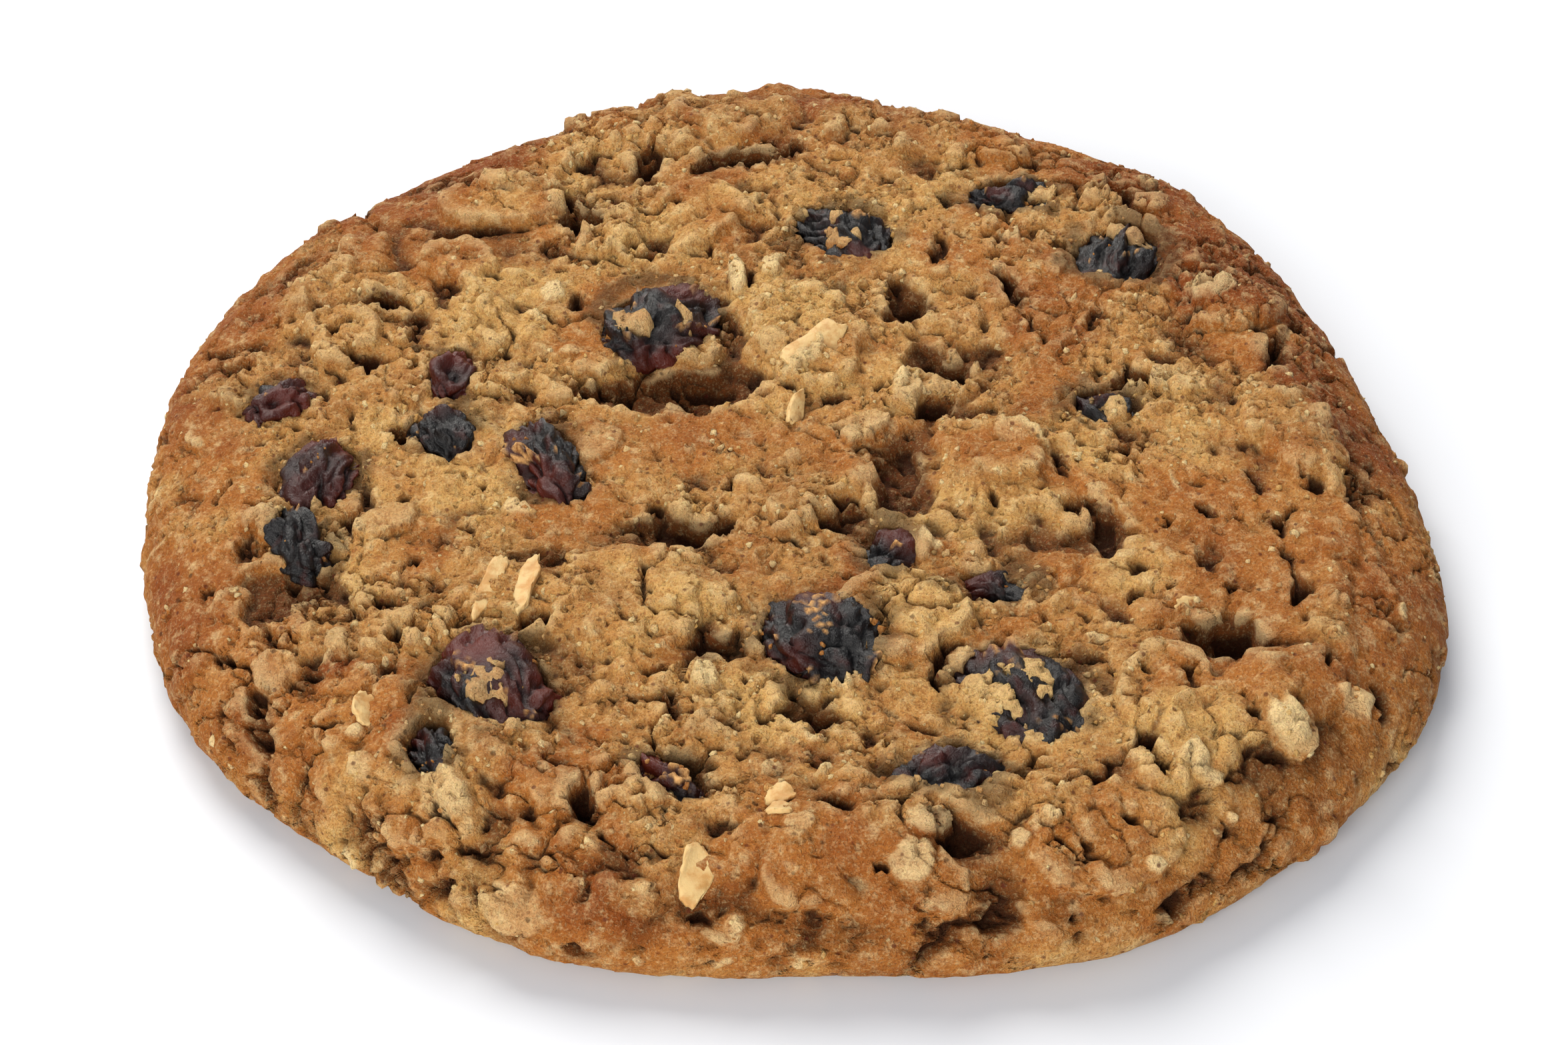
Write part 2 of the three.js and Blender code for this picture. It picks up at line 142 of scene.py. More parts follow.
# Cracks: start, bend and end of the line that each follows, then half width and depth.
CRACKS = (
    (37.6, -8.2, 36.2, -12.5, 37.0, -19.0, 1.0, 2.1),
    (-14.0, -38.4, -12.5, -42.2, -11.0, -45.8, 1.2, 2.4),
    (29.0, -26.5, 27.5, -30.5, 25.4, -34.0, 1.2, 2.4),
    (-37.4, -27.1, -37.6, -30.6, -36.5, -34.5, 1.0, 2.0),
    (-40.5, -11.0, -41.0, -17.0, -37.0, -23.5, 2.2, 1.2),
    (-31.8, -9.5, -33.5, -14.0, -36.0, -17.0, 1.1, 1.1),
    (-32.1, 25.7, -26.6, 26.4, -19.8, 26.3, 1.0, 1.4),
    (26.9, 35.9, 27.6, 30.3, 31.3, 29.5, 1.0, 1.7),
    (41.0, 16.3, 39.0, 10.2, 36.1, 6.3, 1.1, 1.7),
    (17.5, 21.1, 18.1, 18.0, 19.1, 14.8, 0.9, 1.8),
    (-6.7, 36.4, -3.4, 36.3, 0.5, 38.8, 1.0, 1.6),
    (-37.0, 41.0, -36.0, 36.3, -34.2, 26.9, 1.0, 1.2),
    (27.3, -47.7, 26.4, -46.4, 25.5, -45.8, 1.4, 2.2),
    (-45.0, 9.0, -41.0, 10.3, -37.0, 9.4, 0.5, 1.5),
    (-36.8, 12.2, -36.2, 13.2, -35.3, 14.3, 0.5, 1.2),
    (-41.8, -23.6, -41.0, -24.2, -40.2, -24.7, 0.5, 1.2),
    (-42.3, -4.5, -42.2, -6.8, -41.6, -9.0, 0.5, 0.8),
    (0.6, 38.6, 2.2, 37.0, 3.4, 34.6, 0.7, 1.8),
    (-13.4, 22.4, -11.6, 24.0, -9.8, 25.3, 0.5, 1.0),
    (-9.0, -30.2, -7.8, -32.0, -6.5, -33.5, 0.5, 1.2),
    (18.3, 0.6, 20.0, -1.5, 20.8, -3.5, 0.7, 1.5),
    (26.6, 10.5, 27.2, 8.5, 28.6, 6.0, 0.8, 1.5),
    (12.6, -23.8, 11.0, -25.5, 10.0, -28.0, 0.9, 2.6),
    (-3.0, -10.3, -1.3, -11.7, 1.6, -10.8, 0.4, 0.8),
    (25.6, 33.0, 27.0, 31.5, 29.5, 30.3, 0.7, 1.5),
    (18.0, -43.3, 19.5, -44.1, 21.0, -44.5, 0.5, 1.2),
)

# Ragged gaps where the crust tore: centre, half length, half width, turn, depth. Upper left first.
GAPS = (
    (-31.9, 17.0, 2.2, 0.8, -35, 2.2),
    (-33.5, 9.7, 1.2, 1.4, 0, 2.5),
    (-29.3, 13.5, 0.9, 2.2, 0, 1.8),
    (-17.6, 30.8, 1.1, 0.6, 0, 2.2),
    (-15.9, 27.6, 1.6, 1.1, 20, 1.4),
    (-19.3, 24.4, 1.2, 0.5, 0, 1.8),
    (-11.3, 37.7, 1.5, 1.2, 10, 2.6),
    (-13.4, 34.5, 2.4, 1.0, 20, 1.3),
    (-26.9, 18.8, 0.5, 1.6, 0, 1.5),
    (-16.7, 17.0, 0.8, 1.5, 0, 1.8),
    (-15.4, 5.9, 1.1, 0.7, -20, 2.2),
    (-22.3, 5.2, 1.0, 0.4, 0, 1.4),
    (-29.2, 0.9, 1.6, 1.0, 0, 3.0),
    (-3.5, 37.0, 1.1, 0.5, 25, 1.8),
    (-1.0, 39.1, 1.0, 0.4, 0, 1.4),
    (1.2, 41.3, 0.8, 0.6, 0, 1.3),
    (8.4, 34.2, 1.0, 0.4, 0, 1.1),
    (8.2, 39.5, 0.9, 0.6, 0, 1.2),
    (16.2, 37.3, 0.6, 0.9, 0, 1.3),
    (13.3, 31.4, 1.4, 0.7, 0, 1.8),
    (12.6, 24.3, 1.1, 1.8, 0, 1.4),
    (9.6, 18.8, 1.1, 0.7, 0, 1.8),
    (9.1, 15.0, 0.5, 0.8, 0, 2.2),
    (4.3, 18.8, 0.8, 0.9, 0, 1.6),
    (-2.9, 20.6, 0.5, 1.3, 0, 2.0),
    (-4.4, 13.8, 1.6, 3.0, 10, 2.2),
    # the middle
    (4.2, 5.0, 1.4, 0.4, 0, 1.5),
    (4.3, 0.2, 0.4, 0.8, 0, 1.2),
    (11.9, 5.2, 1.2, 0.6, 0, 2.6),
    (9.3, 1.0, 0.6, 0.7, 0, 2.0),
    (7.1, -2.4, 0.5, 0.8, 0, 2.0),
    (9.8, -6.3, 2.2, 3.4, 8, 1.6),
    (15.9, -7.6, 0.6, 0.9, 10, 2.3),
    (21.7, -8.2, 0.8, 1.4, 0, 1.8),
    (24.3, -11.4, 0.8, 1.6, 10, 2.6),
    (21.6, -11.8, 2.2, 1.8, 0, 1.0),
    (-7.2, -6.0, 0.5, 0.7, 0, 1.6),
    (-4.3, -5.8, 0.5, 1.2, -15, 1.8),
    (-9.3, -11.6, 1.4, 1.3, 0, 2.2),
    (4.6, -7.6, 1.6, 1.3, 20, 1.9),
    (3.4, -12.0, 1.0, 0.4, 40, 1.2),
    (13.7, -18.3, 0.6, 0.6, 0, 1.8),
    (10.7, -18.0, 0.6, 0.5, 20, 1.2),
    (6.5, -23.6, 0.8, 2.4, -10, 2.0),
    (1.9, -28.8, 2.6, 0.9, 8, 2.3),
    (-3.6, -22.8, 0.6, 0.8, 0, 1.8),
    (-9.3, -27.3, 1.0, 0.5, 5, 1.8),
    (-1.7, -32.1, 0.8, 0.5, 0, 2.2),
    (7.0, -34.2, 0.8, 0.4, 45, 2.0),
    (-10.4, -19.0, 0.4, 0.9, 0, 1.2),
    (-12.0, -19.4, 0.6, 0.4, 0, 1.0),
    (-10.9, -22.7, 1.1, 0.4, -20, 1.0),
    # the left
    (-31.6, -7.0, 0.7, 2.4, 10, 2.2),
    (-28.2, -7.2, 0.8, 0.4, 0, 1.1),
    (-27.3, -14.8, 0.4, 0.7, 0, 1.2),
    (-23.2, -22.0, 1.0, 0.9, 0, 1.7),
    (-31.2, -20.6, 0.5, 0.6, 0, 2.0),
    (-27.8, -23.6, 0.7, 1.3, 10, 1.5),
    (-35.2, -22.8, 0.4, 0.5, 0, 1.6),
    (-16.7, -14.3, 0.6, 1.4, 0, 2.0),
    (-15.3, -14.8, 1.0, 0.5, 0, 1.5),
    (-18.0, -22.0, 0.8, 1.2, -20, 1.8),
    (-37.4, -28.8, 0.6, 2.2, 0, 2.0),
    (-32.0, -31.6, 0.8, 0.4, -20, 1.5),
    (-28.7, -27.3, 1.4, 1.2, 0, 1.3),
    (-35.3, -29.3, 0.5, 0.6, 0, 1.3),
    (-42.6, -17.0, 0.8, 0.9, 0, 1.3),
    # the right
    (17.8, 18.0, 0.7, 1.7, 0, 2.0),
    (16.8, 11.4, 1.0, 0.5, 0, 1.5),
    (20.8, 12.6, 1.2, 0.8, 0, 1.3),
    (24.8, 15.0, 0.9, 1.3, 0, 1.2),
    (17.7, 23.8, 1.1, 1.4, 0, 1.1),
    (22.2, 9.6, 0.9, 0.4, -15, 1.5),
    (27.4, -0.6, 0.8, 0.5, 0, 1.9),
    (35.0, 23.4, 3.2, 1.7, -20, 1.2),
    (32.5, 15.0, 2.4, 0.8, 5, 1.2),
    (40.0, -5.8, 1.4, 1.1, 0, 1.9),
    (35.3, -5.8, 0.6, 1.6, 10, 2.0),
    (31.9, -2.3, 0.6, 0.4, 0, 1.1),
    (21.0, -4.0, 0.5, 0.8, 0, 1.3),
    (28.5, -9.8, 0.8, 0.4, 0, 1.5),
    (31.3, -9.2, 0.7, 0.8, 0, 1.9),
    (31.3, -13.5, 1.3, 2.1, 0, 1.1),
    (32.4, -17.2, 0.8, 0.5, 5, 2.2),
    (25.2, -15.3, 1.3, 0.9, -20, 1.8),
    (26.1, -18.3, 0.5, 0.5, 0, 1.8),
    (27.8, -16.9, 0.6, 0.7, 0, 1.6),
    (29.9, -22.8, 0.8, 0.8, 0, 2.2),
    (28.4, -22.0, 0.8, 0.6, 0, 1.4),
    (36.0, -23.6, 1.4, 1.0, 0, 1.3),
    (38.2, -25.8, 0.8, 0.7, 20, 1.5),
    (25.8, -27.2, 0.4, 0.9, 0, 1.2),
    (32.6, -31.6, 0.6, 1.2, 35, 1.9),
    (31.3, -33.3, 0.9, 0.8, 0, 1.3),
    (33.5, -34.6, 1.8, 0.5, 5, 1.6),
    (30.8, -36.8, 0.9, 0.5, 5, 1.7),
    (25.9, -36.6, 0.9, 1.2, 0, 2.0),
    (25.3, -33.6, 0.8, 1.2, 0, 2.0),
    (23.6, -41.0, 0.8, 0.6, 0, 1.7),
    (27.5, -40.2, 1.3, 0.5, 15, 1.2),
    (17.2, -35.6, 1.1, 0.6, 10, 2.6),
    (42.6, -28.0, 0.6, 1.2, 35, 1.6),
    (43.3, -10.5, 0.9, 1.8, 10, 1.2),
    # the front
    (-15.5, -36.4, 0.9, 0.5, 0, 2.0),
    (-17.7, -41.2, 0.5, 0.4, 0, 1.8),
    (-23.7, -42.4, 0.8, 0.4, 0, 1.5),
    (-9.1, -44.0, 1.0, 0.4, 0, 1.6),
    (-4.3, -41.7, 0.6, 0.4, 0, 1.6),
    (-4.3, -47.3, 0.6, 0.8, 0, 1.2),
    (-6.0, -48.5, 1.2, 0.8, 0, 1.5),
    (-10.4, -49.2, 1.1, 0.4, 10, 1.8),
    (-14.3, -49.8, 1.2, 0.7, 0, 2.0),
    (-5.8, -50.2, 0.9, 0.4, 0, 1.4),
    (3.4, -50.0, 0.8, 0.4, -10, 1.8),
    (3.2, -40.2, 1.6, 0.8, -35, 2.0),
    (14.3, -47.8, 0.8, 2.2, -15, 1.8),
    (8.8, -47.6, 1.1, 0.4, 5, 1.3),
    (6.3, -45.9, 0.7, 0.6, 0, 1.3),
    (20.4, -44.0, 0.9, 0.4, -10, 1.4),
    (28.2, -44.2, 0.6, 0.5, 50, 1.5),
    (19.6, -48.2, 0.5, 1.2, 0, 1.1),
)

# Oats and curds of pale dough that stand out: centre, half length, half width, turn, rise, paleness.
NUBS = (
    (-18.6, 17.8, 1.2, 1.5, 0, 0.8, 0.8),
    (-3.9, 20.2, 0.8, 2.7, 8, 1.3, 0.9),
    (-1.2, 21.9, 1.0, 1.6, 0, 1.0, 0.8),
    (2.0, 9.0, 1.0, 3.2, -38, 0.9, 0.7),
    (9.0, 6.6, 0.8, 1.3, 0, 0.9, 0.8),
    (11.0, -12.6, 1.3, 0.6, -30, 0.7, 0.9),
    (4.0, -28.0, 0.8, 0.6, 0, 0.8, 0.7),
    (-5.6, -27.8, 1.1, 1.7, 0, 1.0, 0.8),
    (34.6, -32.0, 1.7, 1.7, 0, 0.9, 0.8),
    (40.2, -28.6, 2.0, 1.5, 0, 0.8, 0.6),
    (44.8, -18.8, 0.5, 0.8, 0, 0.5, 0.8),
    (28.0, -36.0, 1.0, 1.5, 0, 0.8, 0.7),
    (22.3, -22.7, 0.9, 0.4, 0, 0.5, 0.8),
    (-22.5, -38.5, 1.1, 2.4, 20, 1.0, 0.4),
    (-23.4, -36.0, 1.1, 0.5, 0, 0.6, 0.7),
    (-29.8, -33.0, 1.0, 0.7, 0, 0.7, 0.8),
    (-30.2, -39.5, 0.5, 1.0, 0, 0.6, 0.9),
    (-3.3, -48.8, 0.6, 1.4, 0, 0.6, 0.7),
    (-10.3, -50.3, 0.5, 0.8, 0, 0.5, 0.7),
    (-4.5, -51.0, 1.4, 0.4, 30, 0.5, 0.7),
    (1.0, -50.5, 0.6, 1.0, 0, 0.6, 0.7),
    (-29.0, -35.8, 1.0, 1.4, 0, 0.7, 0.5),
    (24.7, -44.0, 0.7, 0.5, 0, 0.6, 0.8),
    (2.0, -33.3, 1.1, 0.7, 0, 0.8, 0.8),
    (2.7, -37.0, 0.6, 1.1, 0, 0.8, 0.8),
    (7.9, -44.6, 0.9, 0.7, 0, 0.8, 0.7),
    (13.6, -43.4, 1.2, 0.6, 30, 0.7, 0.6),
    (15.7, -43.0, 0.6, 1.0, 0, 0.8, 0.7),
    (17.9, -41.6, 0.7, 0.6, 0, 0.6, 0.6),
    (30.5, -39.6, 0.6, 0.5, 0, 0.6, 0.7),
    (32.6, 18.8, 0.8, 1.2, 0, 0.7, 0.6),
    (-32.0, -24.5, 1.4, 1.8, 0, 1.1, 0.0),
    (17.9, 0.8, 0.5, 3.0, 35, 0.6, 0.8),
)

# Where the dough browned more, or less below nought, with one paler patch on the front rim that is painted
# light: centre, half length, half width, turn, amount.
BROWNINGS = (
    (36.0, 21.0, 9.0, 6.5, -40, 0.9),
    (31.0, 34.0, 7.0, 4.0, -35, 0.8),
    (41.0, 6.0, 4.5, 9.0, 5, 0.5),
    (4.0, 43.0, 18.0, 4.0, 0, 0.45),
    (-24.0, 36.0, 12.0, 4.0, 35, 0.35),
    (-32.0, -24.5, 2.4, 2.8, 0, 0.8),
    (17.0, 17.0, 4.5, 4.5, 0, 0.5),
    (27.0, -1.0, 3.5, 3.5, 0, 0.35),
    (-10.0, 1.0, 7.0, 3.0, 20, 0.3),
    (-9.0, -19.0, 6.5, 5.2, 0, -0.6),
    (9.6, -19.5, 4.2, 5.0, 0, -1.0),
    (-6.0, 27.0, 10.0, 5.0, 15, -0.6),
    (-21.0, 17.0, 5.0, 6.0, 0, -0.7),
    (0.0, 17.0, 5.0, 5.5, 0, -0.6),
    (28.0, -29.0, 4.0, 5.0, 0, -0.3),
    (-2.0, -29.0, 8.0, 4.5, 0, -0.6),
    (-23.0, -2.0, 5.0, 8.0, 0, -0.7),
    (12.0, -8.5, 5.0, 3.0, -20, -0.5),
    (17.0, -30.0, 5.0, 6.0, 0, -0.4),
    (0.0, -45.0, 11.0, 6.0, -6, -0.5),
    (-20.0, -42.0, 9.0, 6.0, -30, -0.6),
    # Paler on the right of the front rim: painted light, not browning.
    (29.0, -37.0, 10.0, 6.0, 40, -0.5),
)

# Where the skin stayed smooth: centre, half length, half width, turn.
SMOOTH = (
    (-8.0, 6.8, 7.0, 3.6, 14),
    (-38.5, -17.0, 4.5, 8.0, 12),
    (-28.5, -12.0, 4.5, 5.5, 0),
    (9.6, -5.8, 2.4, 3.6, 8),
    (4.0, -46.0, 9.0, 3.6, -6),
    (-6.5, 27.0, 5.5, 3.0, 20),
    (-9.0, -18.0, 4.5, 3.4, 0),
    (36.0, 20.0, 6.0, 5.0, -40),
    (16.0, -2.0, 3.6, 3.0, 0),
    (22.0, 5.5, 4.6, 2.4, 10),
)

# Oat flakes that show: centre, length, width, turn, lean, and how bare of dough they are.
FLAKES = (
    (-21.4, -18.8, 6.2, 1.6, 76, 18, 0.9),
    (-18.8, -18.6, 6.4, 1.5, 80, -14, 0.9),
    (-6.1, -45.5, 4.6, 2.4, 82, 20, 0.8),
    (-29.3, -31.4, 3.2, 1.8, 85, 50, 0.8),
    (-18.2, -46.6, 5.6, 3.2, -20, 8, 0.4),
    (29.6, -20.0, 3.2, 2.0, -20, 24, 0.9),
    (2.2, 9.2, 6.4, 3.2, 52, 22, 0.55),
    (0.9, 3.4, 3.6, 1.4, 80, 40, 0.6),
    (18.2, -1.4, 5.6, 3.4, -58, 12, 0.35),
    (9.4, 6.3, 4.2, 2.6, 80, -14, 0.3),
    (-0.4, -39.9, 2.2, 1.6, 20, 16, 0.9),
    (-0.5, -41.6, 1.9, 1.3, 0, -12, 0.8),
    (8.4, -45.1, 3.4, 3.0, 30, 8, 0.4),
    (-5.5, -27.1, 4.4, 2.8, 85, 8, 0.4),
    (-14.4, -0.9, 4.8, 3.0, 78, -12, 0.35),
    (-23.2, -39.2, 6.6, 3.4, -60, 8, 0.35),
    (34.7, -31.9, 4.6, 3.2, -70, 12, 0.35),
    (-9.0, -19.3, 5.2, 4.2, 10, 6, 0.25),
    (34.0, 17.8, 4.4, 3.0, 20, 12, 0.2),
    (-36.4, -26.4, 4.0, 3.2, 80, 8, 0.25),
    (-17.0, 44.8, 4.0, 3.0, 20, 8, 0.3),
    (5.5, 1.4, 5.0, 4.0, 30, 7, 0.2),
    (30.7, 7.1, 4.8, 3.8, -20, 8, 0.2),
    (-29.7, -9.6, 4.8, 3.8, 50, 7, 0.15),
)

BARE = 0.5  # flakes at least this bare stand apart from the crumb

# Dough that crept over a raisin as it baked: centre, half length, half width, turn.
COVERS = (
    (-12.4, 12.8, 2.2, 1.2, 0),
    (-8.1, 13.8, 1.4, 1.5, 0),
    (4.6, 24.8, 1.4, 1.6, 0),
    (4.2, 28.2, 0.7, 1.0, 0),
    (21.0, 32.3, 2.0, 0.9, 10),
    (28.6, 25.8, 2.8, 0.7, -35),
    (-21.8, -29.6, 2.2, 1.5, 20),
    (-19.6, -33.2, 1.4, 1.1, 0),
    (13.6, -31.2, 2.9, 4.0, 0),
    (17.0, -28.4, 1.9, 1.6, -40),
    (11.6, -34.8, 2.6, 0.9, 0),
    (-35.2, -8.4, 1.4, 1.0, 70),
    (24.7, 3.1, 3.4, 1.7, 0),
)

# How much dough is smeared on a raisin, and how far its skin is thin and red. The rest are clean and dark.
SMEARS = {"raisin_centre": 0.2, "raisin_curled": 0.0, "raisin_left_tall": 0.05, "raisin_broad": 0.05}
BLUSHES = {
    "raisin_left_red": 0.9,
    "raisin_rim_left": 0.8,
    "raisin_left_tall": 0.6,
    "raisin_curled": 0.45,
    "raisin_front_left": 0.7,
    "raisin_mid_left": 0.35,
    "raisin_crown_left": 0.35,
    "raisin_centre": 0.3,
    "raisin_broad": 0.2,
}


def linear(code: str) -> tuple[float, float, float, float]:
    """Turns an sRGB hex colour into the linear colour that shaders use.

    Args:
        code: six hex digits after a hash sign.

    Returns:
        Linear red, green and blue, and an alpha of 1.
    """
    parts = [int(code[i : i + 2], 16) / 255 for i in (1, 3, 5)]
    r, g, b = (c / 12.92 if c <= 0.04045 else ((c + 0.055) / 1.055) ** 2.4 for c in parts)
    return r, g, b, 1.0


def rise(value: Array, low: float, high: float) -> Array:
    """Nought below low, one above high, and a smooth climb between them."""
    t = np.clip((value - low) / (high - low), 0.0, 1.0)
    return t * t * (3 - 2 * t)


def fade(value: Array, low: float, high: float) -> Array:
    """One below low, nought above high, and a smooth fall between them."""
    return 1 - rise(value, low, high)


def oval_distance(x: Array, y: Array, oval: tuple[float, ...]) -> Array:
    """How many times its own half size each point lies from the centre of a turned oval.

    Args:
        x: places across the cookie.
        y: places along the cookie.
        oval: centre, half length, half width and turn, with anything more left unread.

    Returns:
        The distances, one on the oval's own line.
    """
    cx, cy, half_long, half_wide, turn = oval[:5]
    c, s = math.cos(math.radians(turn)), math.sin(math.radians(turn))
    along, across = (x - cx) * c + (y - cy) * s, (y - cy) * c - (x - cx) * s
    return np.hypot(along / half_long, across / half_wide)


def held_below(value: Array | float, limit: float, give: float) -> Array:
    """Values squeezed so that none passes the limit, with those more than give below it left as they are."""
    past = np.maximum(value - (limit - give), 0.0)
    return np.where(past > 0, limit - give * np.exp(-past / give), value)


class Noise:
    """Repeatable noise over the plane, the same at every run."""

    @staticmethod
    def corner(i: Array, j: Array, seed: int) -> Array:
        """Noise from 0 to 1 for each grid corner."""
        s = np.sin(i * 127.1 + j * 311.7 + seed * 74.7) * 43758.5453
        return s - np.floor(s)

    @classmethod
    def soft(cls, x: Array, y: Array, seed: int) -> Array:
        """Smooth noise from -1 to 1 whose bumps are about one unit wide."""
        i, j = np.floor(x), np.floor(y)
        u, v = rise(x - i, 0, 1), rise(y - j, 0, 1)
        low = cls.corner(i, j, seed) * (1 - u) + cls.corner(i + 1, j, seed) * u
        high = cls.corner(i, j + 1, seed) * (1 - u) + cls.corner(i + 1, j + 1, seed) * u
        return 2 * (low * (1 - v) + high * v) - 1

    @classmethod
    def layered(cls, x: Array, y: Array, size: float, seed: int, layers: int = 3) -> Array:
        """Soft noise with finer and fainter noise on it.

        Args:
            x: places across the cookie.
            y: places along the cookie.
            size: width of the largest bumps, in millimetres.
            seed: which noise.
            layers: how many sizes of bump, each half the last.

        Returns:
            Noise from about -1 to 1.
        """
        total, weight = np.zeros_like(x), 0.0
        for k in range(layers):
            turned = 0.6 * k
            c, s = math.cos(turned), math.sin(turned)
            scale = 2.0**k / size
            total += cls.soft((x * c - y * s) * scale, (x * s + y * c) * scale, seed + 20 * k) / 1.8**k
            weight += 1 / 1.8**k
        return total / weight

    @classmethod
    def borders(cls, x: Array, y: Array, size: float, seed: int) -> Array:
        """How far each place lies from the border between scattered cells.

        Args:
            x: places across the cookie.
            y: places along the cookie.
            size: the cells' usual width, in millimetres.
            seed: which cells.

        Returns:
            Nought on a border, and up to about one in the middle of a cell.
        """
        x, y = x / size, y / size
        i, j = np.floor(x), np.floor(y)
        nearest, second = np.full_like(x, 9.0), np.full_like(x, 9.0)
        for across in (-1, 0, 1):
            for along in (-1, 0, 1):
                a, b = i + across, j + along
                away = np.hypot(a + cls.corner(a, b, seed) - x, b + cls.corner(a, b, seed + 1) - y)
                second = np.minimum(second, np.maximum(nearest, away))
                nearest = np.minimum(nearest, away)
        return second - nearest


@dataclass(frozen=True)
class RaisinForm:
    """The oval that a raisin's solid fills, worked out from the solid itself, in millimetres."""

    name: str
    centre: Array
    shape: Array
    top: float

    @classmethod
    def of(cls, name: str) -> "RaisinForm":
        """Fits the oval to a raisin's solid.

        Args:
            name: the raisin's node.

        Returns:
            The oval, with its centre in the cookie's own millimetres.
        """
        points = np.array([v.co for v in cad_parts[name].data.vertices]) / MM
        centre = (points.min(0) + points.max(0)) / 2
        spread = np.linalg.svd(points - centre, full_matrices=False)[2]
        halves = np.abs((points - centre) @ spread.T).max(0)
        centre = centre - np.array([*CENTRING, 0.0])
        return cls(name, centre, spread.T @ np.diag(1 / halves**2) @ spread, float(points[:, 2].max()))

    def surfaces(self, x: Array, y: Array) -> tuple[Array, Array]:
        """Heights of the oval's middle and top over each place, with NaN outside it."""
        dx, dy, a = x - self.centre[0], y - self.centre[1], self.shape
        b = a[0, 2] * dx + a[1, 2] * dy
        c = a[0, 0] * dx**2 + 2 * a[0, 1] * dx * dy + a[1, 1] * dy**2 - 1
        inside = b**2 - a[2, 2] * c
        half = np.sqrt(np.where(inside > 0, inside, np.nan)) / a[2, 2]
        middle = self.centre[2] - b / a[2, 2]
        return middle, middle + half


